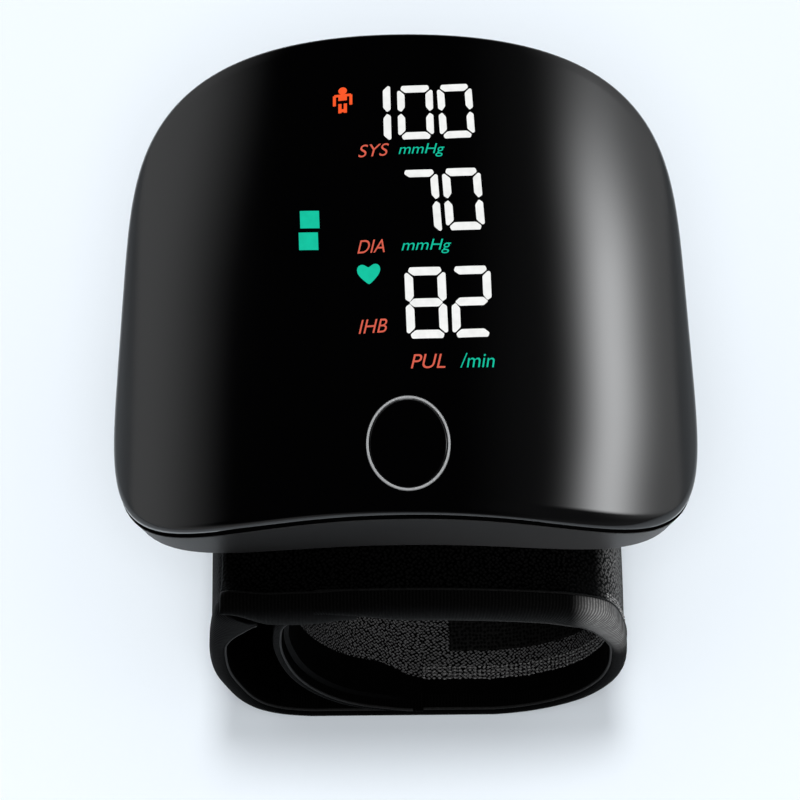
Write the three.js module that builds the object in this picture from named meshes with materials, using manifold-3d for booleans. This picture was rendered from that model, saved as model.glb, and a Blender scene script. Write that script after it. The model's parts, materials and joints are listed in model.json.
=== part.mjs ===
// Wrist blood pressure monitor: an arched two-shell housing on a coiled fabric cuff.
// Millimetres. +Z is up and out of the display, +Y runs to the display's top edge, +X is to the right.
// The cuff's flattened underside lies on z = 0.
import * as THREE from 'three';
import { mergeVertices } from 'three/addons/utils/BufferGeometryUtils.js';
import Module from 'manifold-3d';

const wasm = await Module();
wasm.setup();

// Housing: a rounded-square plan, narrower at the top edge, under an arch about the Y axis
const coverHalfWidth = 39;
const coverHalfLength = 35;
const housingDepth = 15.3;
const archReach = 30;
const archDrop = 10.5;
const archPower = 2.1;
const planTopPower = 4.6;
const planBottomPower = 5;
const planTaperShare = 0.036;
const coverWall = 1.3;
const coverSkirt = 1.9;
const coverSkirtWall = 1.2;
const coverEdgeRadius = 1;
const skirtDraft = 0.35;
const partingGap = 0.45;
const rearInset = 0.5;
const rearDraft = 0.8;
const rearWall = 1.6;
const rearEdgeRadius = 1.2;
const saddleRadius = 75;
const lipHeight = 0.7;
const lipWall = 0.9;

// Clearances and overruns
const seatGap = 0.3;
const slideGap = 0.3;
const cutOverrun = 2;
const weldDistance = 0.0001;

// Cuff: one strip coiled into a loop, with an inner end, a padded top and a peel-off tail
const loopHalfWidth = 28.7;
const loopCentreX = 1.3;
const loopHeight = 46.7;
const cuffFrontReach = 12.2;
const cuffRearReach = 3.8;
const outerFabricThickness = 0.8;
const liningThickness = 0.7;
const stiffenerThickness = 0.5;
const padThickness = 3.6;
const padStartShare = 0.62;
const padFullShare = 0.93;
const bindingWidth = 2.9;
const bindingProud = 0.3;
const bindingRound = 0.5;
const shoulderReach = 21.2;
const shoulderDrop = 3.6;
const shoulderRound = 0.9;
const shoulderOverhang = 4.7;
const shoulderStep = 0.5;
const stiffenerSpanShares = [0.2, 0.7];
const stiffenerInset = 6;
const bladderInset = 9;
const bladderLeastDepth = 1.5;
const hookThickness = 0.8;
const hookSpanShares = [0.6, 0.92];
const hookInset = 8;

// Outline of the loop seen from its front edge, as shares of the half-width about the loop's centre
// and of the height. The inner end climbs the left, the tail follows the outside.
const innerEndShares = [
  [0.03, 0.002], [-0.185, 0.016], [-0.37, 0.082], [-0.51, 0.198],
  [-0.61, 0.355], [-0.665, 0.555], [-0.672, 0.72], [-0.63, 0.86],
];
const topSpanShares = [-0.45, -0.28, -0.1, 0.1, 0.3, 0.5, 0.68];
const rightSideShares = [
  [0.87, 0.855], [0.955, 0.707], [0.981, 0.557], [0.975, 0.415], [0.93, 0.287],
  [0.83, 0.154], [0.62, 0.047], [0.39, 0], [0.094, 0],
];
const bottomSpanShares = [[-0.254, 0], [-0.533, 0], [-0.693, 0.026], [-0.777, 0.062]];
const tailShares = [
  [-0.833, 0.103], [-0.889, 0.176], [-0.941, 0.296], [-0.976, 0.415], [-0.986, 0.535],
  [-0.978, 0.664], [-0.952, 0.775], [-0.922, 0.85], [-0.875, 0.892],
];

// Plate that carries the cuff under the housing
const plateThickness = 1.2;
const plateHalfWidth = 17.5;
const plateFrontMargin = 5;
const plateRearMargin = 11;
const plateBossRadius = 2.5;
const plateCorner = 5.8;
const plateScrewX = 1;
const plateScrewFrontInset = 4;
const plateScrewRearInset = 3;
const plateScrewHeadRadius = 3;
const plateScrewHeadHeight = 1.3;

// Start button and its switch
const buttonX = 0.35;
const buttonMargin = 2.95;
const ringHalfWidth = 5.4;
const ringHalfLength = 6.55;
const ringWall = 0.45;
const ringProud = 0.1;
const capFlange = 0.9;
const capFlangeDrop = 3.2;
const stemRadius = 1.5;
const buttonTravel = 0.5;
const switchSide = 6;
const switchCorner = 0.75;
const switchHeight = 1.8;
const plungerRadius = 1.4;
const plungerLength = 1.1;
const plungerStandUp = 0.7;

// Main board and the display on it
const boardDrop = 6.6;
const boardThickness = 1;
const boardHalfWidth = 17;
const boardFrontMargin = 4;
const boardRearMargin = 5;
const boardCorner = 3;
const boardPostRadius = 1.6;
const boardPostSideInset = 3.5;
const boardPostFrontInset = 2.7;
const boardPostRearInset = 3;
const displayLeftInset = 2;
const displayRightInset = 4;
const displayRearInset = 1;
const displayButtonGap = 2.35;
const diffuserThickness = 0.5;
const digitColumnShares = [0.35, 0.579, 0.8];
const digitRowShares = [0.866, 0.581, 0.246];
const digitHeightShares = [0.182, 0.189, 0.217];
const digitWidthShare = 0.165;
const segmentWidth = 1;
const segmentGap = 0.45;

// Battery
const batteryLeftX = -24.5;
const batteryRightX = -3.5;
const batterySounderGap = 3;
const batteryRearMargin = 8;
const batteryThickness = 4.6;
const batteryCorner = 1.2;
const batterySealLip = 1.6;
const batterySealThickness = 0.8;

// Air pump: flat-bottomed motor can, a pump head with the turning crank, along the Y axis
const pumpX = 20;
const pumpHeadRadius = 4.5;
const pumpHeadFrontY = -7;
const pumpHeadLength = 10.5;
const pumpHeadWall = 1.3;
const pumpHeadFloor = 2;
const motorRadius = 4.1;
const motorFlat = 3.6;
const motorLength = 15;
const shaftRadius = 0.75;
const shaftEngagement = 3;
const crankRadius = 2;
const crankOffset = 0.6;
const crankThickness = 2.4;

// Release valve
const valveRadius = 3.4;
const valveX = 19.6;
const valveFrontY = -24;
const valveLength = 10.5;
const valvePlungerRadius = 1.2;
const valvePlungerLength = 6.4;
const valvePlungerStandOut = 1.3;
const valveTravel = 0.8;
const valveFlange = 0.5;
const valveFlangeThickness = 0.8;

// Air path
const manifoldRadius = 1.6;
const manifoldLegRadius = 1;
const nippleX = 9.5;
const nippleRadius = 1.5;
const nippleFlangeRadius = 2.4;
const nippleFlangeHeight = 0.6;
const sensorSide = 6;
const sensorCorner = 0.6;
const sensorHeight = 2.3;

// Sounder and charging socket, both under the board
const sounderRadius = 4.5;
const sounderHeight = 2;
const sounderX = -9;
const sounderFrontInset = 9.5;
const sounderHoleRadius = 0.8;
const sounderHolePitch = 2.4;
const socketWidth = 8.9;
const socketHeight = 3.2;
const socketDepth = 7.3;
const socketWall = 0.35;
const socketTongueThickness = 0.7;
const socketTongueWidth = 6.6;
const socketRecess = 0.4;

// Housing screws
const screwValveGap = 1.6;
const screwEndMargin = 12.5;
const screwShankRadius = 1;
const screwHeadRadius = 1.8;
const screwHeadHeight = 1.1;
const screwDriveRadius = 0.8;
const screwDriveDepth = 0.6;
const screwEngagement = 3;
const bossRadius = 2.3;
const postRadius = 2.9;
const screwPocketDepth = 1.8;
const bossDrop = 6.2;

// Counts
const planSteps = 64;
const archSteps = 20;
const edgeSteps = 3;
const roundSteps = 24;
const smallRoundSteps = 16;
const cornerSteps = 5;
const driveSides = 6;
const ovalSteps = 40;
const loopSteps = 62;
const tailSteps = 24;
const curveDivisions = 400;

// Heights and centres that follow from the sizes above
const strapThickness = outerFabricThickness + seatGap + liningThickness;
const rearBottomZ = loopHeight + plateThickness + 2 * seatGap;
const apexZ = rearBottomZ + housingDepth;
const saddleCentreZ = rearBottomZ - saddleRadius;
const boardTopZ = apexZ - boardDrop;
const boardBottomZ = boardTopZ - boardThickness;

const plateFrontY = plateFrontMargin - coverHalfLength;
const plateRearY = coverHalfLength - plateRearMargin;
const cuffFrontY = plateFrontY - cuffFrontReach;
const cuffRearY = plateRearY + cuffRearReach;
const plateScrewFrontY = plateFrontY + plateScrewFrontInset;
const plateScrewRearY = plateRearY - plateScrewRearInset;
const buttonY = buttonMargin + ringHalfLength - coverHalfLength;
const boardFrontY = boardFrontMargin - coverHalfLength;
const boardRearY = coverHalfLength - boardRearMargin;
const boardPostX = boardHalfWidth - boardPostSideInset;
const boardPostFrontY = boardFrontY + boardPostFrontInset;
const boardPostRearY = boardRearY - boardPostRearInset;
const displayLeftX = displayLeftInset - boardHalfWidth;
const displayRightX = boardHalfWidth - displayRightInset;
const displayFrontY = buttonY + ringHalfLength + displayButtonGap;
const displayRearY = boardRearY - displayRearInset;
const displayWidth = displayRightX - displayLeftX;
const displayLength = displayRearY - displayFrontY;
const sounderY = boardFrontY + sounderFrontInset;
const batteryFrontY = sounderY + sounderRadius + batterySounderGap;
const batteryRearY = boardRearY - batteryRearMargin;
const screwX = valveX + valveRadius + screwValveGap + postRadius;
const screwY = coverHalfLength - screwEndMargin;

const archZ = (x) => apexZ - archDrop * Math.abs(x / archReach) ** archPower;
const ceilingZ = (x) => archZ(x) - coverWall;
const arcZ = (radius, x) => saddleCentreZ + Math.sqrt(radius ** 2 - x ** 2);
const saddleZ = (x) => arcZ(saddleRadius, x);
const floorZ = (x) => arcZ(saddleRadius + rearWall, x);
const restingZ = (radius, x) => arcZ(saddleRadius + rearWall + seatGap + radius, x);

const screwPlaces = [[-screwX, -screwY], [screwX, -screwY], [screwX, screwY], [-screwX, screwY]];
const bossBottomZ = ceilingZ(screwX) - bossDrop;
const headSeatZ = saddleZ(screwX) + screwPocketDepth;
const plateScrewPlaces = [[plateScrewX, plateScrewFrontY], [plateScrewX, plateScrewRearY]];
const plateBossTopZ = floorZ(plateScrewX) + seatGap / 2;
const boardPostPlaces = [
  [-boardPostX, boardPostFrontY], [boardPostX, boardPostFrontY],
  [boardPostX, boardPostRearY], [-boardPostX, boardPostRearY],
];
const switchTopZ = boardTopZ + seatGap + switchHeight;
const plungerTopZ = switchTopZ + plungerStandUp;
const capUndersideZ = apexZ - capFlangeDrop;
const socketTopZ = boardBottomZ - seatGap;
const socketBottomZ = socketTopZ - socketHeight;

const pumpZ = restingZ(pumpHeadRadius, pumpX);
const pumpHeadRearY = pumpHeadFrontY + pumpHeadLength;
const motorFrontY = pumpHeadRearY + seatGap;
const valveZ = restingZ(valveRadius, valveX);
const valveRearY = valveFrontY + valveLength;
const valvePlungerRearY = valveFrontY - valvePlungerStandOut + valvePlungerLength;
const manifoldY = (valveRearY + pumpHeadFrontY) / 2;
const nippleSeatZ = floorZ(nippleX - nippleFlangeRadius) + seatGap;
const nippleTopZ = nippleSeatZ + nippleFlangeHeight;
const sensorBottomZ = boardBottomZ - seatGap - sensorHeight;
const manifoldZ = (nippleTopZ + sensorBottomZ) / 2;

const cuffOuterRadius = saddleRadius - plateThickness - 2 * seatGap;
const bladderDepth = outerFabricThickness + stiffenerThickness + 2 * seatGap;
const bladderTopZ = arcZ(cuffOuterRadius, nippleX - nippleRadius) - bladderDepth;

// Finishes
function finish(color, roughness, metalness) {
  return new THREE.MeshStandardMaterial({ color, roughness, metalness });
}
const glossBlack = finish(0x050506, 0.08, 0);
const satinBlack = finish(0x1b1c1e, 0.42, 0);
const chrome = finish(0xc9ccd0, 0.15, 1);
const fabricBlack = finish(0x141416, 0.9, 0);
const meshFabric = finish(0x232427, 0.95, 0);
const tapeBlack = finish(0x19191b, 0.85, 0);
const hookBlack = finish(0x0e0e0f, 0.8, 0);
const bladderGrey = finish(0x44484c, 0.6, 0);
const boardGreen = finish(0x0e4a2c, 0.5, 0);
const whitePlastic = finish(0xe8eaea, 0.45, 0);
const diffuserWhite = finish(0xf2f4f4, 0.6, 0);
const foilSilver = finish(0xa8adb2, 0.4, 0.6);
const steel = finish(0x9fa3a8, 0.35, 0.9);
const darkPlastic = finish(0x26282b, 0.55, 0);
const rubberBlack = finish(0x151515, 0.8, 0);
const brass = finish(0xb9964e, 0.35, 0.9);

// Solids and booleans
function solidOf(geometry) {
  const bare = geometry.index ? geometry.toNonIndexed() : geometry.clone();
  bare.deleteAttribute('normal');
  bare.deleteAttribute('uv');
  const merged = mergeVertices(bare, weldDistance);
  const corners = merged.index.array;
  const triVerts = [];
  for (let i = 0; i < corners.length; i += 3) {
    const [a, b, c] = [corners[i], corners[i + 1], corners[i + 2]];
    if (a !== b && b !== c && c !== a) triVerts.push(a, b, c);
  }
  return new wasm.Manifold(new wasm.Mesh({
    numProp: 3,
    vertProperties: new Float32Array(merged.attributes.position.array),
    triVerts: new Uint32Array(triVerts),
  }));
}

function geometryOf(solid) {
  const mesh = solid.getMesh();
  const geometry = new THREE.BufferGeometry();
  geometry.setAttribute('position', new THREE.BufferAttribute(new Float32Array(mesh.vertProperties), 3));
  geometry.setIndex(new THREE.BufferAttribute(new Uint32Array(mesh.triVerts), 1));
  geometry.computeVertexNormals();
  return geometry;
}

const cut = (body, ...tools) => tools.reduce((left, tool) => left.subtract(tool), body);
const join = (...parts) => parts.reduce((all, part) => all.add(part));

const group = new THREE.Group();

function piece(name, shape, material) {
  const geometry = shape.isBufferGeometry ? geometryOf(solidOf(shape)) : geometryOf(shape);
  const mesh = new THREE.Mesh(geometry, material);
  mesh.name = name;
  group.add(mesh);
  return mesh;
}

// Closed skin through rings of equal counts; an end ring of one point is a pole, a longer one a flat end
function loft(rings) {
  const count = Math.max(...rings.map((ring) => ring.length));
  const position = [];
  const add = (...points) => points.forEach((p) => position.push(p.x, p.y, p.z));
  const at = (ring, k) => (ring.length === 1 ? ring[0] : ring[k % count]);
  for (let j = 0; j + 1 < rings.length; j += 1) {
    for (let k = 0; k < count; k += 1) {
      const [a, b] = [at(rings[j], k), at(rings[j], k + 1)];
      const [c, d] = [at(rings[j + 1], k), at(rings[j + 1], k + 1)];
      add(a, c, b);
      add(b, c, d);
    }
  }
  const first = rings[0];
  const last = rings[rings.length - 1];
  for (let k = 1; k + 1 < first.length; k += 1) add(first[0], first[k], first[k + 1]);
  for (let k = 1; k + 1 < last.length; k += 1) add(last[0], last[k + 1], last[k]);
  const geometry = new THREE.BufferGeometry();
  geometry.setAttribute('position', new THREE.Float32BufferAttribute(position, 3));
  return solidOf(geometry);
}

// Prism of an outline drawn in X and Z, between two places along Y
function prismY(outline, y0, y1) {
  const shape = Array.isArray(outline) ? new THREE.Shape(outline) : outline;
  const options = { depth: y1 - y0, bevelEnabled: false, curveSegments: cornerSteps };
  const geometry = new THREE.ExtrudeGeometry(shape, options);
  geometry.rotateX(Math.PI / 2);
  geometry.translate(0, y1, 0);
  return solidOf(geometry);
}

// Prism of a shape drawn in X and Y, between two heights
function prismZ(shape, z0, z1) {
  const options = { depth: z1 - z0, bevelEnabled: false, curveSegments: cornerSteps };
  const geometry = new THREE.ExtrudeGeometry(shape, options);
  geometry.translate(0, 0, z0);
  return solidOf(geometry);
}

function box(x0, x1, y0, y1, z0, z1) {
  const geometry = new THREE.BoxGeometry(x1 - x0, y1 - y0, z1 - z0);
  geometry.translate((x0 + x1) / 2, (y0 + y1) / 2, (z0 + z1) / 2);
  return solidOf(geometry);
}

function rodZ(radius, x, y, z0, z1, steps = roundSteps) {
  const geometry = new THREE.CylinderGeometry(radius, radius, z1 - z0, steps);
  geometry.rotateX(Math.PI / 2);
  geometry.translate(x, y, (z0 + z1) / 2);
  return solidOf(geometry);
}

function rodY(radius, x, z, y0, y1, steps = roundSteps) {
  const geometry = new THREE.CylinderGeometry(radius, radius, y1 - y0, steps);
  geometry.translate(x, (y0 + y1) / 2, z);
  return solidOf(geometry);
}

function rodX(radius, y, z, x0, x1, steps = roundSteps) {
  const geometry = new THREE.CylinderGeometry(radius, radius, x1 - x0, steps);
  geometry.rotateZ(Math.PI / 2);
  geometry.translate((x0 + x1) / 2, y, z);
  return solidOf(geometry);
}

function oval(halfWidth, halfLength, x, y) {
  const points = new THREE.EllipseCurve(x, y, halfWidth, halfLength, 0, 2 * Math.PI).getPoints(ovalSteps);
  return new THREE.Shape(points.slice(0, -1));
}

function roundedRect(x0, x1, y0, y1, corner) {
  const shape = new THREE.Shape();
  shape.moveTo(x0 + corner, y0);
  shape.lineTo(x1 - corner, y0);
  shape.absarc(x1 - corner, y0 + corner, corner, -Math.PI / 2, 0);
  shape.lineTo(x1, y1 - corner);
  shape.absarc(x1 - corner, y1 - corner, corner, 0, Math.PI / 2);
  shape.lineTo(x0 + corner, y1);
  shape.absarc(x0 + corner, y1 - corner, corner, Math.PI / 2, Math.PI);
  shape.lineTo(x0, y0 + corner);
  shape.absarc(x0 + corner, y0 + corner, corner, Math.PI, 1.5 * Math.PI);
  return shape;
}

// Everything under a height that follows x, within a reach to each side of a middle
function under(heightAt, middleX, reach) {
  const points = [
    new THREE.Vector2(middleX + reach, -cutOverrun),
    new THREE.Vector2(middleX - reach, -cutOverrun),
  ];
  for (let i = 0; i <= archSteps; i += 1) {
    const x = middleX + reach * (2 * i / archSteps - 1);
    points.push(new THREE.Vector2(x, heightAt(x)));
  }
  return prismY(points.reverse(), cuffFrontY, coverHalfLength + cutOverrun);
}
const underArch = (drop, middleX = 0, reach = coverHalfWidth) =>
  under((x) => archZ(x) - drop, middleX, reach);
const underSaddle = (rise, middleX = 0, reach = coverHalfWidth) =>
  under((x) => arcZ(saddleRadius + rise, x), middleX, reach);

// Plan outline of the housing, drawn in by an inset and shrunk to a share of itself
function planPoint(turn, inset, share = 1) {
  const angle = 2 * Math.PI * turn;
  const halfWidth = coverHalfWidth - inset;
  const halfLength = coverHalfLength - inset;
  const power = Math.sin(angle) > 0 ? planTopPower : planBottomPower;
  const acrossTerm = Math.abs(Math.cos(angle) / halfWidth) ** power;
  const alongTerm = Math.abs(Math.sin(angle) / halfLength) ** power;
  const reach = (acrossTerm + alongTerm) ** (-1 / power);
  const y = reach * Math.sin(angle);
  const x = reach * Math.cos(angle) * (1 - planTaperShare * y / halfLength);
  return [x * share, y * share];
}

function planRing(inset, share, heightAt) {
  const ring = [];
  for (let k = 0; k < planSteps; k += 1) {
    const [x, y] = planPoint(k / planSteps, inset, share);
    ring.push(new THREE.Vector3(x, y, heightAt(x)));
  }
  return ring;
}

const pole = (z) => [new THREE.Vector3(0, 0, z)];
const skinShares = [0.2, 0.4, 0.58, 0.74, 0.88];
const floorShares = [0.24, 0.46, 0.67, 0.86];

function post(x, y, radius, topZ) {
  const column = rodZ(radius, x, y, saddleZ(Math.abs(x) + radius), topZ, smallRoundSteps);
  return cut(column, underSaddle(rearWall / 2, x, radius));
}

// Front cover: arched skin, rounded edge and short skirt, with the bosses that take the screws
function frontCover() {
  const rings = [pole(apexZ)];
  skinShares.forEach((share) => rings.push(planRing(coverEdgeRadius, share, archZ)));
  for (let i = 0; i <= edgeSteps; i += 1) {
    const angle = i / edgeSteps * Math.PI / 2;
    const inset = coverEdgeRadius * (1 - Math.sin(angle));
    const drop = coverEdgeRadius * (1 - Math.cos(angle));
    rings.push(planRing(inset, 1, (x) => archZ(x) - drop));
  }
  rings.push(planRing(skirtDraft, 1, (x) => archZ(x) - coverSkirt));
  rings.push(planRing(coverSkirtWall, 1, (x) => archZ(x) - coverSkirt));
  rings.push(planRing(coverSkirtWall, 1, ceilingZ));
  [...skinShares].reverse().forEach((share) => rings.push(planRing(coverSkirtWall, share, ceilingZ)));
  rings.push(pole(apexZ - coverWall));
  const mouth = prismZ(oval(ringHalfWidth + seatGap, ringHalfLength + seatGap, buttonX, buttonY),
    apexZ - coverWall - cutOverrun, apexZ + cutOverrun);
  let cover = cut(loft(rings), mouth);
  screwPlaces.forEach(([x, y]) => {
    const skin = underArch(coverWall / 2, x, bossRadius + seatGap);
    const boss = rodZ(bossRadius, x, y, bossBottomZ, apexZ, smallRoundSteps).intersect(skin);
    const pilot = rodZ(screwShankRadius + seatGap, x, y, bossBottomZ - cutOverrun,
      bossBottomZ + screwEngagement + seatGap, smallRoundSteps);
    cover = cut(join(cover, boss), pilot);
  });
  return cover;
}

// Rear housing: tray with a lip inside the skirt, a wrist saddle below, posts and holes
function rearHousing() {
  const rimZ = (x) => archZ(x) - coverSkirt - partingGap;
  const lipZ = (x) => rimZ(x) + lipHeight;
  const lipOuter = coverSkirtWall + seatGap;
  const lipInner = lipOuter + lipWall;
  const bottomInset = rearInset + rearDraft;
  const rings = [pole(floorZ(0))];
  const floorInset = bottomInset + rearWall + rearEdgeRadius / 2;
  floorShares.forEach((share) => rings.push(planRing(floorInset, share, floorZ)));
  rings.push(planRing(floorInset, 1, floorZ));
  rings.push(planRing(lipInner, 1, (x) => floorZ(x) + rearEdgeRadius));
  rings.push(planRing(lipInner, 1, lipZ));
  rings.push(planRing(lipOuter, 1, lipZ));
  rings.push(planRing(lipOuter, 1, rimZ));
  rings.push(planRing(rearInset, 1, rimZ));
  for (let i = 0; i <= edgeSteps; i += 1) {
    const angle = i / edgeSteps * Math.PI / 2;
    const inset = bottomInset + rearEdgeRadius * (1 - Math.cos(angle));
    const rise = rearEdgeRadius * (1 - Math.sin(angle));
    rings.push(planRing(inset, 1, (x) => saddleZ(x) + rise));
  }
  const outerInset = bottomInset + rearEdgeRadius;
  [...floorShares].reverse().forEach((share) => rings.push(planRing(outerInset, share, saddleZ)));
  rings.push(pole(saddleZ(0)));
  let rear = loft(rings);
  screwPlaces.forEach(([x, y]) => {
    rear = join(rear, post(x, y, postRadius, bossBottomZ - seatGap));
    const hole = rodZ(screwShankRadius + seatGap, x, y, headSeatZ - cutOverrun,
      bossBottomZ + screwEngagement + seatGap, smallRoundSteps);
    const pocket = rodZ(screwHeadRadius + seatGap, x, y, headSeatZ - screwPocketDepth * 2, headSeatZ);
    rear = cut(rear, hole, pocket);
  });
  boardPostPlaces.forEach(([x, y]) => {
    rear = join(rear, post(x, y, boardPostRadius, boardBottomZ - seatGap));
  });
  const through = (radius, x, y) => rodZ(radius, x, y, saddleZ(x) - cutOverrun, floorZ(x) + cutOverrun);
  plateScrewPlaces.forEach(([x, y]) => {
    rear = cut(rear, through(plateBossRadius + seatGap, x, y));
  });
  rear = cut(rear, through(nippleRadius + slideGap, nippleX, manifoldY));
  for (let i = -1; i <= 1; i += 1) {
    rear = cut(rear, through(sounderHoleRadius, sounderX + sounderHolePitch * i, sounderY));
  }
  const socketMouth = roundedRect(-socketWidth / 2 - seatGap, socketWidth / 2 + seatGap,
    socketBottomZ - seatGap, socketTopZ + seatGap, socketHeight / 2);
  const mouthRearY = coverHalfLength + cutOverrun;
  return cut(rear, prismY(socketMouth, mouthRearY - socketDepth, mouthRearY));
}

piece('front_cover', frontCover(), glossBlack);
piece('rear_housing', rearHousing(), satinBlack);

screwPlaces.forEach(([x, y], index) => {
  const headTopZ = headSeatZ - seatGap;
  const head = rodZ(screwHeadRadius, x, y, headTopZ - screwHeadHeight, headTopZ);
  const shank = rodZ(screwShankRadius, x, y, headTopZ - screwHeadHeight / 2, bossBottomZ + screwEngagement,
    smallRoundSteps);
  const drive = rodZ(screwDriveRadius, x, y, headTopZ - screwHeadHeight - cutOverrun,
    headTopZ - screwHeadHeight + screwDriveDepth, driveSides);
  piece(`housing_screw_${index + 1}`, cut(join(head, shank), drive), steel);
});

// Start button: trim ring, oval cap with a retaining flange and stem, tactile switch on the board
function trimRing() {
  const outerOval = oval(ringHalfWidth, ringHalfLength, buttonX, buttonY);
  const innerOval = oval(ringHalfWidth - ringWall, ringHalfLength - ringWall, buttonX, buttonY);
  const outer = prismZ(outerOval, capUndersideZ, apexZ + cutOverrun);
  const inner = prismZ(innerOval, capUndersideZ - cutOverrun, apexZ + 2 * cutOverrun);
  const reach = ringHalfWidth + seatGap;
  const band = cut(outer, inner, underArch(coverWall, buttonX, reach));
  return band.intersect(underArch(-ringProud, buttonX, reach));
}

function buttonCap() {
  const capHalfWidth = ringHalfWidth - ringWall - slideGap;
  const capHalfLength = ringHalfLength - ringWall - slideGap;
  const face = prismZ(oval(capHalfWidth, capHalfLength, buttonX, buttonY), capUndersideZ, apexZ + cutOverrun);
  const flangeShape = oval(capHalfWidth + capFlange, capHalfLength + capFlange, buttonX, buttonY);
  const reach = capHalfWidth + capFlange + seatGap;
  const belowSkin = underArch(coverWall + seatGap, buttonX, reach);
  const flange = prismZ(flangeShape, capUndersideZ, apexZ).intersect(belowSkin);
  const stem = rodZ(stemRadius, buttonX, buttonY, plungerTopZ + seatGap, capUndersideZ + coverWall);
  return join(face.intersect(underArch(0, buttonX, reach)), flange, stem);
}

function switchBody() {
  const half = switchSide / 2;
  const outline = roundedRect(buttonX - half, buttonX + half, buttonY - half, buttonY + half, switchCorner);
  const block = prismZ(outline, boardTopZ + seatGap, switchTopZ);
  const wellBottomZ = plungerTopZ - plungerLength - buttonTravel - slideGap;
  return cut(block, rodZ(plungerRadius + slideGap, buttonX, buttonY, wellBottomZ, switchTopZ + cutOverrun));
}

piece('button_trim_ring', trimRing(), chrome);
piece('start_button_cap', buttonCap(), glossBlack);
piece('switch_body', switchBody(), darkPlastic);
piece('switch_plunger', rodZ(plungerRadius, buttonX, buttonY, plungerTopZ - plungerLength, plungerTopZ),
  whitePlastic);

// Board, and the display made of a white reflector with segment wells under a thin diffuser
piece('main_board', prismZ(roundedRect(-boardHalfWidth, boardHalfWidth, boardFrontY, boardRearY, boardCorner),
  boardBottomZ, boardTopZ), boardGreen);

function segmentWell(x, y, halfAcross, halfAlong) {
  const [x0, x1, y0, y1] = [x - halfAcross, x + halfAcross, y - halfAlong, y + halfAlong];
  return box(x0, x1, y0, y1, boardTopZ - cutOverrun, apexZ);
}

function digitWells(x, y, width, height) {
  const side = width / 2 - segmentWidth / 2;
  const rise = height / 2 - segmentWidth / 2;
  const upright = rise / 2 - segmentWidth / 2 - segmentGap / 2;
  const wells = [];
  for (const dx of [-side, side]) {
    for (const dy of [-rise / 2, rise / 2]) {
      wells.push(segmentWell(x + dx, y + dy, segmentWidth / 2, upright));
    }
  }
  for (const dy of [-rise, 0, rise]) {
    wells.push(segmentWell(x, y + dy, side - segmentWidth / 2 - segmentGap / 2, segmentWidth / 2));
  }
  return wells;
}

function displayReflector() {
  const block = box(displayLeftX, displayRightX, displayFrontY, displayRearY, boardTopZ + seatGap, apexZ);
  let reflector = block.intersect(underArch(coverWall + 3 * seatGap + diffuserThickness));
  digitRowShares.forEach((rowShare, row) => {
    digitColumnShares.forEach((columnShare) => {
      const x = displayLeftX + displayWidth * columnShare;
      const y = displayFrontY + displayLength * rowShare;
      const height = displayLength * digitHeightShares[row];
      reflector = cut(reflector, ...digitWells(x, y, displayWidth * digitWidthShare, height));
    });
  });
  return reflector;
}

function displayDiffuser() {
  const block = box(displayLeftX, displayRightX, displayFrontY, displayRearY, boardTopZ, apexZ);
  const film = block.intersect(underArch(coverWall + 2 * seatGap));
  return cut(film, underArch(coverWall + 2 * seatGap + diffuserThickness));
}

piece('display_reflector', displayReflector(), whitePlastic);
piece('display_diffuser', displayDiffuser(), diffuserWhite);

// Battery pouch with its folded sealing lip
function batteryCell() {
  const z0 = floorZ(batteryRightX) + seatGap;
  const z1 = z0 + batteryThickness;
  const body = prismZ(roundedRect(batteryLeftX, batteryRightX, batteryFrontY + batterySealLip, batteryRearY,
    batteryCorner), z0, z1);
  const lipZ = (z0 + z1) / 2;
  const lip = box(batteryLeftX + batteryCorner, batteryRightX - batteryCorner, batteryFrontY,
    batteryFrontY + 2 * batterySealLip, lipZ, lipZ + batterySealThickness);
  return join(body, lip);
}
piece('battery_cell', batteryCell(), foilSilver);

// Pump: the head rests on the floor, the motor drives the crank inside it
function pumpHead() {
  const shell = rodY(pumpHeadRadius, pumpX, pumpZ, pumpHeadFrontY, pumpHeadRearY);
  const chamber = rodY(pumpHeadRadius - pumpHeadWall, pumpX, pumpZ, pumpHeadFrontY + pumpHeadFloor,
    pumpHeadRearY + cutOverrun);
  return cut(shell, chamber);
}

function pumpMotor() {
  const can = rodY(motorRadius, pumpX, pumpZ, motorFrontY, motorFrontY + motorLength);
  const flats = box(pumpX - motorFlat, pumpX + motorFlat, motorFrontY, motorFrontY + motorLength,
    pumpZ - motorRadius, pumpZ + motorRadius);
  const bore = rodY(shaftRadius + slideGap, pumpX, pumpZ, motorFrontY - cutOverrun,
    motorFrontY + shaftEngagement + slideGap, smallRoundSteps);
  return cut(can.intersect(flats), bore);
}

function pumpCrank() {
  const discRearY = motorFrontY - slideGap;
  const shaft = rodY(shaftRadius, pumpX, pumpZ, discRearY - crankThickness, motorFrontY + shaftEngagement,
    smallRoundSteps);
  const disc = rodY(crankRadius, pumpX + crankOffset, pumpZ, discRearY - crankThickness, discRearY);
  return join(shaft, disc);
}

piece('pump_head', pumpHead(), darkPlastic);
piece('pump_motor', pumpMotor(), steel);
piece('pump_crank', pumpCrank(), brass);

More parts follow.
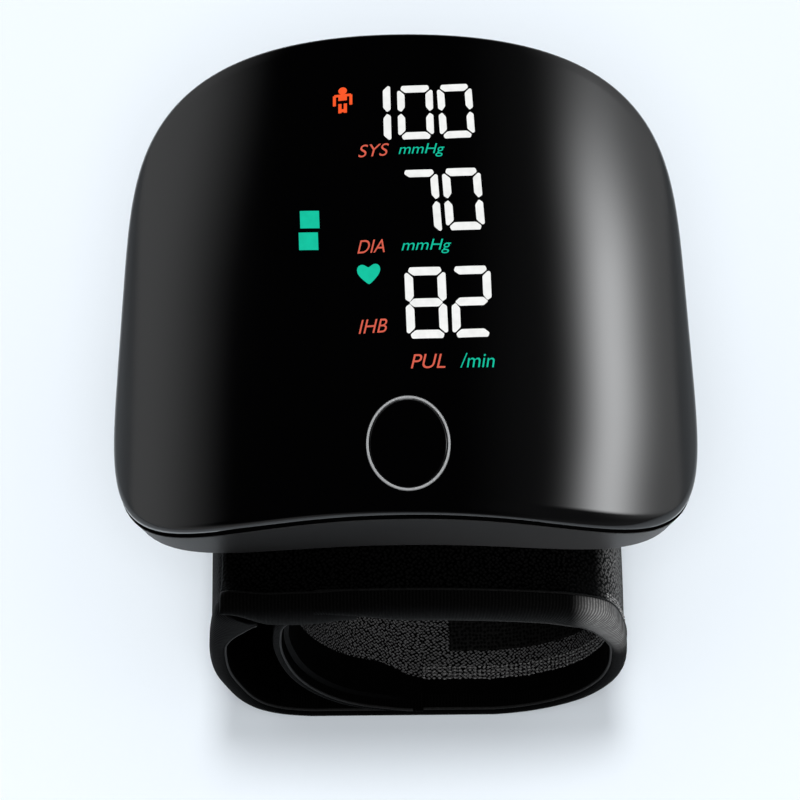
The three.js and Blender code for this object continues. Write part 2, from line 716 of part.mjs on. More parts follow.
// Release valve with a sliding plunger
function valveBody() {
  const coil = rodY(valveRadius - valveFlange, valveX, valveZ, valveFrontY, valveRearY);
  const frontFlange = rodY(valveRadius, valveX, valveZ, valveFrontY, valveFrontY + valveFlangeThickness);
  const rearFlange = rodY(valveRadius, valveX, valveZ, valveRearY - valveFlangeThickness, valveRearY);
  const bore = rodY(valvePlungerRadius + slideGap, valveX, valveZ, valveFrontY - cutOverrun,
    valvePlungerRearY + valveTravel + slideGap, smallRoundSteps);
  return cut(join(coil, frontFlange, rearFlange), bore);
}
piece('valve_body', valveBody(), steel);
piece('valve_plunger', rodY(valvePlungerRadius, valveX, valveZ, valvePlungerRearY - valvePlungerLength,
  valvePlungerRearY, smallRoundSteps), brass);

// Air path: manifold between pump, valve and sensor, and the nipple down into the bladder
function airManifold() {
  const main = rodY(manifoldRadius, valveX, manifoldZ, valveRearY + seatGap, pumpHeadFrontY - seatGap);
  const branch = rodX(manifoldLegRadius, manifoldY, manifoldZ, nippleX, valveX, smallRoundSteps);
  const leg = rodZ(manifoldRadius, nippleX, manifoldY, nippleTopZ + seatGap, sensorBottomZ - seatGap);
  return join(main, branch, leg);
}
function airNipple() {
  const bottomZ = bladderTopZ + seatGap;
  const tube = rodZ(nippleRadius, nippleX, manifoldY, bottomZ, nippleTopZ, smallRoundSteps);
  const flange = rodZ(nippleFlangeRadius, nippleX, manifoldY, nippleSeatZ, nippleTopZ);
  return join(tube, flange);
}
function pressureSensor() {
  const half = sensorSide / 2;
  const outline = roundedRect(nippleX - half, nippleX + half, manifoldY - half, manifoldY + half,
    sensorCorner);
  return prismZ(outline, sensorBottomZ, boardBottomZ - seatGap);
}
piece('air_manifold', airManifold(), rubberBlack);
piece('air_nipple', airNipple(), whitePlastic);
piece('pressure_sensor', pressureSensor(), darkPlastic);

// Sounder and charging socket under the board
piece('sounder', rodZ(sounderRadius, sounderX, sounderY, boardBottomZ - seatGap - sounderHeight,
  boardBottomZ - seatGap), darkPlastic);

function chargingSocket() {
  const rearFaceY = coverHalfLength - rearInset - rearDraft - socketRecess;
  const slab = (x, z0, z1, inset, y0, y1) => {
    const corner = (z1 - z0) / 2 - inset;
    const outline = roundedRect(-x + inset, x - inset, z0 + inset, z1 - inset, corner);
    return prismY(outline, y0, y1);
  };
  const frontFaceY = rearFaceY - socketDepth;
  const shell = slab(socketWidth / 2, socketBottomZ, socketTopZ, 0, frontFaceY, rearFaceY);
  const cavity = slab(socketWidth / 2, socketBottomZ, socketTopZ, socketWall, frontFaceY + 2 * socketWall,
    rearFaceY + cutOverrun);
  const middleZ = (socketBottomZ + socketTopZ) / 2;
  const tongue = box(-socketTongueWidth / 2, socketTongueWidth / 2, frontFaceY + socketWall,
    rearFaceY - 2 * socketWall, middleZ - socketTongueThickness / 2, middleZ + socketTongueThickness / 2);
  return join(cut(shell, cavity), tongue);
}
piece('charging_socket', chargingSocket(), steel);

// Plate on the cuff, concentric with the saddle, and the two screws that hold it from inside
function cuffPlate() {
  const lower = underSaddle(-seatGap - plateThickness);
  const slab = cut(underSaddle(-seatGap), lower);
  const outline = prismZ(roundedRect(-plateHalfWidth, plateHalfWidth, plateFrontY, plateRearY, plateCorner),
    0, apexZ);
  let plate = slab.intersect(outline);
  plateScrewPlaces.forEach(([x, y]) => {
    plate = join(plate, rodZ(plateBossRadius, x, y, arcZ(saddleRadius - seatGap - plateThickness / 2, x),
      plateBossTopZ));
  });
  plateScrewPlaces.forEach(([x, y]) => {
    plate = cut(plate, rodZ(screwShankRadius + seatGap, x, y, 0, plateBossTopZ + cutOverrun,
      smallRoundSteps));
  });
  return cut(plate, rodZ(nippleRadius + slideGap, nippleX, manifoldY, 0, apexZ));
}
piece('cuff_mounting_plate', cuffPlate(), darkPlastic);
plateScrewPlaces.forEach(([x, y], index) => {
  const headZ = plateBossTopZ + seatGap;
  const head = rodZ(plateScrewHeadRadius, x, y, headZ, headZ + plateScrewHeadHeight);
  const shank = rodZ(screwShankRadius, x, y, arcZ(saddleRadius - seatGap - plateThickness, x),
    headZ + seatGap, smallRoundSteps);
  const drive = rodZ(screwDriveRadius, x, y, headZ + plateScrewHeadHeight - screwDriveDepth,
    headZ + plateScrewHeadHeight + cutOverrun, driveSides);
  piece(`plate_screw_${index + 1}`, cut(join(head, shank), drive), steel);
});

// Cuff outline: points on its outer face, from the inner end round to the tail's tip
const loopX = (share) => loopCentreX + loopHalfWidth * share;
const layerStack = strapThickness + bindingProud + seatGap;
const innerEndZ = (share) => layerStack + (loopHeight - layerStack) * share;
const cuffTopZ = (x) => arcZ(cuffOuterRadius, x);

function sampledCurve(points, count, keepFrom, keepTo) {
  const places = points.map(([x, z]) => new THREE.Vector3(x, 0, z));
  const curve = new THREE.CatmullRomCurve3(places, false, 'centripetal');
  curve.arcLengthDivisions = curveDivisions;
  const samples = [];
  for (let i = 0; i <= count; i += 1) {
    const u = keepFrom + (keepTo - keepFrom) * i / count;
    const p = curve.getPointAt(u);
    const t = curve.getTangentAt(u);
    const z = Math.min(Math.max(p.z, 0), cuffTopZ(p.x));
    samples.push({ x: p.x, z, across: t.z, up: -t.x, length: curve.getLength() });
  }
  return samples;
}

const mainPoints = [
  ...innerEndShares.map(([a, b]) => [loopX(a), innerEndZ(b)]),
  ...topSpanShares.map((a) => [loopX(a), cuffTopZ(loopX(a))]),
  ...rightSideShares.map(([a, b]) => [loopX(a), loopHeight * b]),
  ...bottomSpanShares.map(([a, b]) => [loopX(a), loopHeight * b]),
  [loopX(tailShares[0][0]), loopHeight * tailShares[0][1]],
];
const tailPoints = tailShares.map(([a, b]) => [loopX(a), loopHeight * b]);

const mainLength = sampledCurve(mainPoints, 1, 0, 1)[0].length;
const rootSetBack = strapThickness / 2 + 2 * seatGap;
const mainPath = sampledCurve(mainPoints, loopSteps, 0, 1 - rootSetBack / mainLength);
const tailPath = sampledCurve(tailPoints, tailSteps, 0, 1);

const smooth = (t) => {
  const s = Math.min(Math.max(t, 0), 1);
  return s * s * (3 - 2 * s);
};
const padAt = (z) => padThickness * smooth((z / loopHeight - padStartShare) / (padFullShare - padStartShare));
const depthAt = (sample) => strapThickness + padAt(sample.z);
const inward = (sample, depth) =>
  new THREE.Vector2(sample.x + sample.across * depth, sample.z + sample.up * depth);

// One layer of the cuff: a band between two depths under the outer face
function layer(path, outerDepth, innerDepth, y0, y1) {
  const outer = path.map((sample) => inward(sample, outerDepth(sample)));
  const inner = path.map((sample) => inward(sample, innerDepth(sample)));
  return prismY([...outer, ...inner.reverse()], y0, y1);
}

// Edge tape with a rounded nose; towards is +1 when the nose faces +Y, -1 when it faces -Y
const noseShares = [[0, 1], [0, 0.36], [0.16, 0.1], [0.5, 0], [0.84, 0.1], [1, 0.36], [1, 1]];
function edgeTape(path, depthOf, noseY, towards) {
  const rings = path.map((sample) => {
    const depth = depthOf(sample) + bindingProud;
    const section = noseShares.map(([a, b]) => {
      const p = inward(sample, depth * a);
      return new THREE.Vector3(p.x, noseY - towards * bindingWidth * b, p.y);
    });
    return towards < 0 ? section.reverse() : section;
  });
  return loft(rings);
}

const fabricFrontY = cuffFrontY + bindingWidth + seatGap;
const fabricRearY = cuffRearY - bindingWidth - seatGap;
const pathShare = (path, from, to) => {
  const last = path.length - 1;
  return path.slice(Math.round(from * last), Math.round(to * last) + 1);
};
const stiffenedPath = pathShare(mainPath, ...stiffenerSpanShares);
const nippleHole = rodZ(nippleRadius + slideGap, nippleX, manifoldY, loopHeight / 2, apexZ, smallRoundSteps);

const outerFabric = layer(mainPath, () => 0, () => outerFabricThickness, fabricFrontY, fabricRearY);
const liningOuterDepth = (sample) => depthAt(sample) - liningThickness;
const lining = layer(mainPath, liningOuterDepth, depthAt, fabricFrontY, fabricRearY);

// Inside the pad: a springy sheet under the outer fabric, and the air bladder under the sheet
const roomFor = (thickness) => stiffenedPath.filter((sample) => padAt(sample.z) > thickness + seatGap);
const stiffenerDepth = outerFabricThickness + seatGap;
const stiffener = layer(roomFor(stiffenerThickness), () => stiffenerDepth,
  () => stiffenerDepth + stiffenerThickness, fabricFrontY + stiffenerInset, fabricRearY - stiffenerInset);
const bladder = layer(roomFor(bladderLeastDepth), () => bladderDepth,
  (sample) => liningOuterDepth(sample) - seatGap, fabricFrontY + bladderInset, fabricRearY - bladderInset);

// Folded shoulder at the top left: it fills the corner by the inner end and reaches out over the tail's
// tip, rising past the plate's edge to the saddle
const shoulderEndX = loopX(topSpanShares[1]);
const shoulderPath = mainPath.filter((s) => s.x < shoulderEndX && s.z > loopHeight - 2 * shoulderDrop);
const shoulderFootZ = Math.max(...tailPath.map((s) => s.z)) + slideGap;
const riseX = -plateHalfWidth - seatGap;
const shoulderTopZ = (x) => (x > riseX ? cuffTopZ(x) : saddleZ(x) - seatGap);
function shoulder(y0, y1) {
  const leftX = loopCentreX - shoulderReach;
  const tipX = leftX - shoulderOverhang;
  const outline = shoulderPath.map((sample) => inward(sample, outerFabricThickness / 2));
  const topPoints = [];
  for (let i = 0; i <= archSteps; i += 1) {
    const x = shoulderEndX + (tipX + shoulderRound - shoulderEndX) * i / archSteps;
    if (Math.abs(x - riseX) > shoulderStep) topPoints.push([x, shoulderTopZ(x)]);
  }
  topPoints.push([riseX, cuffTopZ(riseX)], [riseX - shoulderStep, shoulderTopZ(riseX - shoulderStep)]);
  topPoints.sort((a, b) => b[0] - a[0]);
  topPoints.forEach(([x, z]) => outline.push(new THREE.Vector2(x, z)));
  const tipTopZ = shoulderTopZ(tipX);
  outline.push(new THREE.Vector2(tipX, (tipTopZ + shoulderFootZ) / 2));
  outline.push(new THREE.Vector2(tipX + shoulderRound, shoulderFootZ));
  outline.push(new THREE.Vector2(leftX, shoulderFootZ));
  outline.push(new THREE.Vector2(leftX + shoulderRound, cuffTopZ(leftX) - shoulderDrop));
  return prismY(outline, y0, y1);
}

const coveredShoulder = shoulder(fabricFrontY, fabricRearY);
piece('cuff_outer_fabric', cut(join(outerFabric, coveredShoulder), nippleHole), fabricBlack);
piece('cuff_inner_lining', lining, meshFabric);
piece('cuff_stiffener', cut(stiffener, nippleHole), darkPlastic);
piece('cuff_bladder', bladder, bladderGrey);
piece('cuff_front_binding', join(edgeTape(mainPath, depthAt, cuffFrontY, -1),
  shoulder(cuffFrontY + bindingRound, cuffFrontY + bindingWidth)), tapeBlack);
piece('cuff_rear_binding', join(edgeTape(mainPath, depthAt, cuffRearY, 1),
  shoulder(cuffRearY - bindingWidth, cuffRearY - bindingRound)), tapeBlack);

// Tail: the strip's outer end, which peels outward about its root at the lower left
const root = tailPath[0];
const rootCentre = inward(root, strapThickness / 2);
function rootEnd(y0, y1) {
  return rodY(strapThickness / 2, rootCentre.x, rootCentre.y, y0, y1, smallRoundSteps);
}
const strapDepth = () => strapThickness;
const tailBand = layer(tailPath, () => 0, strapDepth, fabricFrontY, fabricRearY);
const hookPath = pathShare(tailPath, ...hookSpanShares);
const hook = layer(hookPath, () => strapThickness + seatGap, () => strapThickness + seatGap + hookThickness,
  fabricFrontY + hookInset, fabricRearY - hookInset);

piece('cuff_tail', join(tailBand, rootEnd(fabricFrontY, fabricRearY)), fabricBlack);
piece('cuff_tail_hook', hook, hookBlack);
piece('cuff_tail_front_binding', join(edgeTape(tailPath, strapDepth, cuffFrontY, -1),
  rootEnd(cuffFrontY + 2 * bindingRound, cuffFrontY + bindingWidth)), tapeBlack);
piece('cuff_tail_rear_binding', join(edgeTape(tailPath, strapDepth, cuffRearY, 1),
  rootEnd(cuffRearY - bindingWidth, cuffRearY - 2 * bindingRound)), tapeBlack);

export default group;
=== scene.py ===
"""Visible pieces of a wrist blood pressure monitor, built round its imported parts."""
import json
import math
from collections import namedtuple

import bmesh
import bpy
from bpy.props import FloatProperty, FloatVectorProperty, IntProperty, PointerProperty
from mathutils import Matrix, Vector

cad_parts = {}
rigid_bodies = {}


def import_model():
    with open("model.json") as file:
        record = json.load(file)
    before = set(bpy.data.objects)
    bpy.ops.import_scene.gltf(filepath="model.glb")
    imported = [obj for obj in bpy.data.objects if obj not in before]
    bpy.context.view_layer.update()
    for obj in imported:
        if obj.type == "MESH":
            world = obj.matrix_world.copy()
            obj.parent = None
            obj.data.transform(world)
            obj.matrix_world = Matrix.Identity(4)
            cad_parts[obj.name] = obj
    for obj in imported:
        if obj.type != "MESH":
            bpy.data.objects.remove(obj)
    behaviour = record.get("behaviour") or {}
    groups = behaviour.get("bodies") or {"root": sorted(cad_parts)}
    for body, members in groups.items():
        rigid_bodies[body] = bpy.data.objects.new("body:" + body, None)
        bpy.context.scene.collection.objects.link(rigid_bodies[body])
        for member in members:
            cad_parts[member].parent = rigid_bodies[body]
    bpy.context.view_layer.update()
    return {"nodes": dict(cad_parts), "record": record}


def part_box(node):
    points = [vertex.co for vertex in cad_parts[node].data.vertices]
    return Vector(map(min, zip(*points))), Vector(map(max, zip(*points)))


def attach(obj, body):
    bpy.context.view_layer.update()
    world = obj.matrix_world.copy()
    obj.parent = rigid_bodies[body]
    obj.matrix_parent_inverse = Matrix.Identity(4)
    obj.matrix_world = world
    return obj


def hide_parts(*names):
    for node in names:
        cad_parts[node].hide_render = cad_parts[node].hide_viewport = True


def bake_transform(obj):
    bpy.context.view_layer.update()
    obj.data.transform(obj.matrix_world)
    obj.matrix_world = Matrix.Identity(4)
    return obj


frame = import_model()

bl_info = {
    "name": "Wrist monitor pieces",
    "version": (1, 0, 0),
    "blender": (4, 5, 0),
    "location": "3D View > Sidebar > Monitor",
    "description": "Builds the visible pieces of a wrist blood pressure monitor",
    "category": "Object",
}

MM = 0.001
TURN = 2 * math.pi


def length(label, words, millimetres):
    """A length property whose default is given in millimetres."""
    return FloatProperty(name=label, description=words, default=millimetres * MM, unit="LENGTH", precision=5)


def share(label, words, value):
    """A plain number property."""
    return FloatProperty(name=label, description=words, default=value)


def lean(label, words, degrees):
    """An angle property whose default is given in degrees."""
    return FloatProperty(name=label, description=words, default=math.radians(degrees), subtype="ANGLE")


def colour(label, words, value):
    """A colour property, linear values."""
    return FloatVectorProperty(name=label, description=words, default=value, size=3, subtype="COLOR",
                               min=0.0, max=1.0)


class MonitorHousingSizes(bpy.types.PropertyGroup):
    half_width: length("Half width", "Half of the cover across", 39)
    half_length: length("Half length", "Half of the cover from bottom to top edge", 35)
    apex: length("Apex height", "Top of the arch above the table", 63.8)
    arch_reach: length("Arch reach", "Distance from the middle at which the drop is taken", 30)
    arch_drop: length("Arch drop", "How far the arch falls at its reach", 10.5)
    arch_power: share("Arch power", "How square the arch is", 2.1)
    top_power: share("Top corner power", "How square the top corners are", 4.6)
    bottom_power: share("Bottom corner power", "How square the bottom corners are", 5.0)
    taper: share("Taper", "Narrowing towards the top edge", 0.036)
    wall: length("Wall", "Thickness of the cover", 1.3)
    side_radius: length("Side edge radius", "Rounding of the cover's edge at the sides", 0.4)
    front_radius: length("Front edge radius", "Rounding of the cover's edge in the middle of the front", 1.5)
    edge_depth: length("Edge depth", "How far the rounded edge comes down", 1.1)
    edge_step: length("Edge step", "Step in below the rounded edge", 0.04)
    edge_lip: length("Edge lip", "Height of that step", 0.05)
    front_growth: length("Front edge growth", "How much rounder the front edge is to the right", 0.8)
    # The skirt reaches this deep so that its dull black draws the parting line as painted shade.
    skirt: length("Skirt", "Depth of the dark skirt under the cover", 2.8)
    skirt_lap: length("Skirt lap", "How far the skirt reaches up behind the edge", 0.3)
    skirt_inset: length("Skirt inset", "Step in of the skirt's upper edge", 0.1)
    skirt_draft: length("Skirt draft", "Step in of the skirt's lower edge", 0.12)
    skirt_wall: length("Skirt wall", "Thickness of the skirt", 1.2)
    parting: length("Parting gap", "Gap between skirt and rear shell", 0.2)
    rear_inset: length("Rear inset", "Step in of the rear shell", 0.1)
    rear_draft: length("Rear draft", "Taper of the rear shell's wall", 0.8)
    rear_wall: length("Rear wall", "Thickness of the rear shell", 1.6)
    rear_edge: length("Rear edge radius", "Rounding of the rear shell's lower edge", 1.2)
    lip_play: length("Lip play", "Gap between the skirt and the rear shell's lip", 0.3)
    lip_wall: length("Lip wall", "Thickness of the lip", 0.9)
    lip_rise: length("Lip rise", "Height of the lip above the rim", 0.7)
    saddle_radius: length("Saddle radius", "Curve of the rear shell over the wrist", 75)
    saddle_top: length("Saddle height", "Middle of the saddle above the table", 48.5)
    pocket_radius: length("Screw pocket radius", "Half of a screw pocket across", 2.1)
    pocket_depth: length("Screw pocket depth", "How far a pocket is cut past the screw's lowest point", 1.4)
    hole_radius: length("Sounder hole radius", "Half of a sounder hole across", 0.8)
    hole_pitch: length("Sounder hole pitch", "Distance between the sounder holes", 2.4)
    socket_gap: length("Socket gap", "Gap round the charging socket", 0.2)
    around: IntProperty(name="Steps around", description="Segments round the outline", default=256)


class MonitorButtonSizes(bpy.types.PropertyGroup):
    x: length("Across", "Centre of the start button", 0.35)
    y: length("Along", "Centre of the start button", -25.5)
    half_width: length("Half width", "Half of the trim ring across", 5.4)
    half_length: length("Half length", "Half of the trim ring along", 6.55)
    ring_wall: length("Ring wall", "Width of the bright line", 0.29)
    ring_proud: length("Ring stand-up", "How far the ring stands above the cover", 0.06)
    slit: length("Slit", "Gap round the ring and the cap", 0.09)
    cap_edge: length("Cap edge", "Rounding of the cap's edge", 0.25)
    flange_drop: length("Flange drop", "Depth of the cap below the arch", 3.2)
    flange_reach: length("Flange reach", "How far the flange reaches past the cap", 0.85)
    flange_gap: length("Flange gap", "Gap between the flange and the cover", 0.35)
    stem: length("Stem", "Half of the stem across", 1.5)
    around: IntProperty(name="Steps around", description="Segments round the button", default=128)


class MonitorCuffSizes(bpy.types.PropertyGroup):
    loop_half_width: length("Half width", "Half of the coiled loop across", 28.7)
    loop_centre: length("Centre", "Middle of the loop across", 1.3)
    loop_height: length("Height", "Height of the coiled loop", 46.7)
    front: length("Front edge", "Front rim of the cuff", -42.2)
    rear: length("Rear edge", "Rear rim of the cuff", 27.8)
    strap: length("Strap", "Thickness of the strap", 1.8)
    pad: length("Pad", "Extra thickness of the padded top", 3.6)
    end_gap: length("End gap", "Gap between the inner end and the strap below it", 0.6)
    flap_share: share("Flap share", "Part of the loop that is the free inner end", 0.4)
    bend: length("Bend", "Half of the stretch over which the tail turns", 4)
    tip_growth: length("Tip growth", "How much thicker the tail gets towards its tip", 3.4)
    tip_radius: length("Tip radius", "Rounding of the tail's tip", 0.5)
    cloth: length("Cloth", "Thickness of the outer cloth", 0.8)
    cloth_wave: length("Cloth wave", "Unevenness of the outer cloth", 0.04)
    lining: length("Lining", "Thickness of the mesh lining", 0.75)
    lining_wave: length("Lining wave", "Unevenness of the lining", 0.06)
    overlay_wave: length("Overlay wave", "Unevenness of the hems, the panel and the fold", 0.03)
    tape_width: length("Tape width", "Width of the edge tape", 2.9)
    tape_proud: length("Tape stand-up", "How far the tape stands above the cloth", 0.24)
    tape_lap: length("Tape lap", "How far the cloth runs on under the tape", 0.6)
    bulge: length("Bulge", "Largest rounding of a cloth's long edges", 0.4)
    tape_nose: length("Tape nose", "Largest rounding of the tape's edge", 1.5)
    rib_pitch: length("Rib pitch", "Distance between the tape's ribs", 0.46)
    rib_height: length("Rib height", "Height of the tape's ribs", 0.035)
    cord: length("Piping", "Half of the thin seam cords across", 0.2)
    piping_start: length("Piping start", "Distance from the inner end to the piping", 1.5)
    mesh_left: length("Mesh start", "Where the open mesh of the lining starts", -8)
    hem: length("Hem", "Smooth strip of the lining beside the edge tapes", 2.1)
    flap_hem: length("Flap hem", "The same strip on the inner end", 3.9)
    stitch: length("Stitch", "Length of a stitch", 0.5)
    stitch_radius: length("Stitch radius", "Half of a stitch across", 0.15)
    plate_half: length("Plate half width", "Half of the mounting plate across", 17.8)
    plate_wall: length("Plate", "Thickness of the plate and its two gaps", 1.8)
    shoulder_left: length("Shoulder", "Left end of the folded corner", -24.7)
    shoulder_end: length("Shoulder end", "Rounding of that end", 1.2)
    shoulder_inner: length("Shoulder foot", "Where the fold starts to come down beside the tail's tip", -23.6)
    shoulder_foot: length("Shoulder height", "Underside of the fold over the tail's tip", 41.98)
    shoulder_wall: length("Shoulder wall", "Thickness of the fold over the inner end", 5.3)
    shoulder_rise: length("Shoulder rise", "Where the fold starts to take that thickness", -17.2)
    fillet: length("Fillet", "How far the folded corner comes down beside the tail's tip", 3.3)


class MonitorStageSettings(bpy.types.PropertyGroup):
    distance: length("Camera distance", "From the camera to the arch's base", 400)
    arch_base: length("Arch base", "Height of the point that the camera turns about", 45.6)
    tilt: lean("Camera tilt", "Lean of the camera from straight above", 25)
    roll: lean("Camera roll", "Turn of the picture", 0.82)
    lens: share("Lens", "Focal length in millimetres", 131.04)
    sensor: share("Sensor", "Width of the sensor in millimetres", 36)
    picture: share("Picture", "Width of the picture in pixels", 800)
    aim_right: share("Aim right", "Pixels from the arch's base to the picture's middle", -5.2)
    aim_up: share("Aim up", "Pixels from the arch's base up to the picture's middle", -77.7)
    table_half: length("Table", "Half of the table top across", 3000)
    table_drop: length("Table drop", "Gap between the cuff and the table top", 0.02)
    floor: colour("Floor", "Colour of the table top", (0.80, 0.86, 0.92))
    backdrop: colour("Backdrop", "Colour behind everything", (0.86, 0.92, 0.98))


GROUPS = {
    "monitor_housing": MonitorHousingSizes,
    "monitor_button": MonitorButtonSizes,
    "monitor_cuff": MonitorCuffSizes,
    "monitor_stage": MonitorStageSettings,
}

finishes = {}


# Finishes

def grey(level):
    return (level, level, level)


# name, colour, roughness or its range, metallic, specular, grain scale, grain spread, grain depth in metres
GRAINED = (
    ("shell_satin", (0.021, 0.021, 0.0215), (0.34, 0.46), 0.0, 0.06, 4000, 0.2, 0.00001),
    ("ring_chrome", (0.42, 0.43, 0.44), (0.3, 0.4), 0.3, 0.5, 3000, 0.06, 0.000004),
    # The skirt is black like the cover, but dull with no reflection: that dullness is painted shade of the
    # dark parting line.
    ("skirt_black_painted_shade", grey(0.0006), 0.6, 0.0, 0.0, 2000, 0.3, 0.00001),
    # The piping cords are real; their lighter grey against the near-black tapes is painted highlight on the
    # thin edges.
    ("piping", grey(0.01), 0.5, 0.0, 0.05, 2500, 0.3, 0.00001),
    ("seam_fold", grey(0.0025), 0.5, 0.0, 0.05, 2500, 0.3, 0.00001),
    ("thread", grey(0.12), 0.5, 0.0, 0.1, 9000, 0.6, 0.00002),
    ("white_plastic", (0.72, 0.73, 0.72), (0.357, 0.504), 0.0, 0.5, 900, 0.06, 0.00001),
    ("dark_plastic", (0.02, 0.021, 0.022), (0.425, 0.6), 0.0, 0.5, 2500, 0.3, 0.00002),
    ("rubber_black", grey(0.012), (0.595, 0.84), 0.0, 0.5, 1500, 0.3, 0.00002),
    ("board_green", (0.01, 0.075, 0.035), (0.2975, 0.42), 0.0, 0.5, 500, 0.25, 0.00001),
    ("foil_silver", (0.5, 0.52, 0.54), (0.272, 0.384), 0.9, 0.5, 250, 0.08, 0.00006),
    ("steel_plain", (0.45, 0.46, 0.47), (0.255, 0.36), 1.0, 0.5, 1800, 0.12, 0.00001),
    ("brass_plain", (0.45, 0.31, 0.12), (0.255, 0.36), 1.0, 0.5, 1800, 0.12, 0.00001),
)

# name, cell size in millimetres, dark, light, turn in degrees, cell stretch, weave depth in metres,
# roughness, unevenness of the cells, whether the light shows as specks, and start, full place and gain of the
# painted light on the cuff's upper right end
CLOTHS = (
    # cuff_fabric's last entry is painted light on the cuff's upper right end.
    ("cuff_fabric", 0.5, grey(0.0001), grey(0.0015), 45, 1.0, 0.00012, 0.55, 0.7, True, (25, 29, 80)),
    ("cuff_mesh", 0.5, grey(0.0008), (0.088, 0.088, 0.09), 38, 1.3, 0.0002, 0.5, 0.5, True, None),
    ("hook_tape", 0.5, grey(0.001), grey(0.03), 0, 1.0, 0.0003, 0.7, 0.12, False, None),
    ("smooth_cloth", 0.3, grey(0.0005), grey(0.0012), 0, 1.0, 0.00002, 0.5, 0.12, False, None),
    ("panel_cloth", 0.6, grey(0.001), grey(0.007), 0, 1.0, 0.00005, 0.5, 0.5, False, None),
)

LIT = {
    "lit_white": (0.93, 0.94, 0.93),
    "lit_teal": (0.004, 0.56, 0.36),
    "lit_orange": (1.0, 0.1, 0.02),
    "lit_coral": (0.72, 0.12, 0.075),
}


class Tree:
    """Adds nodes to a material or world: an input that is a socket is linked, any other is set."""

    def __init__(self, owner):
        owner.use_nodes = True
        self.nodes, self.links = owner.node_tree.nodes, owner.node_tree.links

    def wire(self, node, inputs):
        for key, value in inputs.items():
            if isinstance(value, bpy.types.NodeSocket):
                self.links.new(value, node.inputs[key])
            else:
                node.inputs[key].default_value = value

    def add(self, kind, inputs=None, **settings):
        node = self.nodes.new("ShaderNode" + kind)
        for key, value in settings.items():
            setattr(node, key, value)
        self.wire(node, inputs or {})
        return node

    def place(self, output="Object"):
        return self.add("TexCoord").outputs[output]

    def cloth_map(self):
        return self.add("UVMap", uv_map="cloth").outputs["UV"]

    def noise(self, place, scale, detail=2):
        return self.add("TexNoise", {"Vector": place, "Scale": scale, "Detail": detail}).outputs["Fac"]

    def maths(self, kind, *values):
        return self.add("Math", dict(enumerate(values)), operation=kind).outputs["Value"]

    def ramp(self, value, low, high, at_low=0.0, at_high=1.0, kind="SMOOTHSTEP"):
        inputs = {"Value": value, "From Min": low, "From Max": high, "To Min": at_low, "To Max": at_high}
        return self.add("MapRange", inputs, interpolation_type=kind).outputs["Result"]

    def tint(self, value, *stops):
        """Colours between stops, each a position and a colour."""
        node = self.add("ValToRGB", {"Fac": value})
        elements = node.color_ramp.elements
        while len(elements) < len(stops):
            elements.new(1)
        for element, (position, tone) in zip(elements, stops):
            element.position = position
            element.color = (*tone, 1)
        return node.outputs["Color"]

    def bump(self, shader, height, strength, distance):
        node = self.add("Bump", {"Height": height, "Strength": strength, "Distance": distance})
        self.wire(shader, {"Normal": node.outputs["Normal"]})


def new_finish(name, base, roughness=0.5, metallic=0.0, specular=0.5):
    """A material with one Principled shader; returns its tree and shader."""
    material = bpy.data.materials.new(name)
    tree = Tree(material)
    shader = tree.nodes["Principled BSDF"]
    tree.wire(shader, {"Base Color": (*base, 1), "Roughness": roughness, "Metallic": metallic,
                       "Specular IOR Level": specular})
    finishes[name] = material
    return tree, shader


def gloss_finish(name, base, low, high):
    """Polished plastic whose gloss drifts between two roughnesses."""
    tree, shader = new_finish(name, base)
    haze = tree.ramp(tree.noise(tree.place(), 60), 0, 1, low, high, "LINEAR")
    tree.wire(shader, {"IOR": 1.5, "Roughness": haze})


def grained_finish(name, base, roughness, metallic, specular, scale, spread, depth):
    """Moulded, metal or thread: fine noise in colour, height and, where it is a range, roughness."""
    tree, shader = new_finish(name, base, metallic=metallic, specular=specular)
    noise = tree.noise(tree.place(), scale, 4)
    dark = [c * (1 - spread) for c in base]
    light = [min(1, c * (1 + spread)) for c in base]
    if isinstance(roughness, tuple):
        roughness = tree.ramp(noise, 0, 1, *roughness, "LINEAR")
    tree.wire(shader, {"Base Color": tree.tint(noise, (0.3, dark), (0.7, light)), "Roughness": roughness})
    tree.bump(shader, noise, 0.5, depth)


def painted_side_light(tree, tone, start, full, gain, low=27, high=34):
    """Painted light: brightens a tone by a gain at the cuff's upper right end, between places in millimetres.
    """
    parts = tree.add("SeparateXYZ", {"Vector": tree.place()}).outputs
    across = tree.ramp(parts["X"], start * MM, full * MM)
    up = tree.ramp(parts["Z"], low * MM, high * MM)
    # growth is 1 elsewhere and the gain where the painted light falls.
    growth = tree.maths("MULTIPLY_ADD", tree.maths("MULTIPLY", across, up), gain - 1, 1)
    return tree.add("VectorMath", {"Vector": tone, "Scale": growth}, operation="SCALE").outputs["Vector"]


def cloth_finish(name, pitch, dark, light, turn, stretch, depth, roughness, slack, specks, side):
    """Knitted or mesh cloth: a lattice of cells on the piece's own millimetre map."""
    tree, shader = new_finish(name, dark, roughness, specular=0.01)
    place = tree.cloth_map()
    turned = tree.add("Mapping", {"Vector": place, "Rotation": (0, 0, math.radians(turn)),
                                  "Scale": (1 / pitch, stretch / pitch, 1)}).outputs["Vector"]
    cells = tree.add("TexVoronoi", {"Vector": turned, "Scale": 1, "Randomness": slack},
                     voronoi_dimensions="2D").outputs["Distance"]
    stops = ((0.2, dark), (0.5, light), (0.75, light))
    if specks:
        stops = ((0.12, light), (0.3, light), (0.45, dark))
    worn = tree.add("MixRGB", {"Fac": 0.5, "Color1": tree.tint(cells, *stops),
                               "Color2": tree.noise(place, 0.35, 3)}, blend_type="MULTIPLY").outputs["Color"]
    # Where side is given, light is painted on the cuff's upper right end.
    tree.wire(shader, {"Base Color": painted_side_light(tree, worn, *side) if side else worn})
    tree.bump(shader, cells, 0.9, depth)


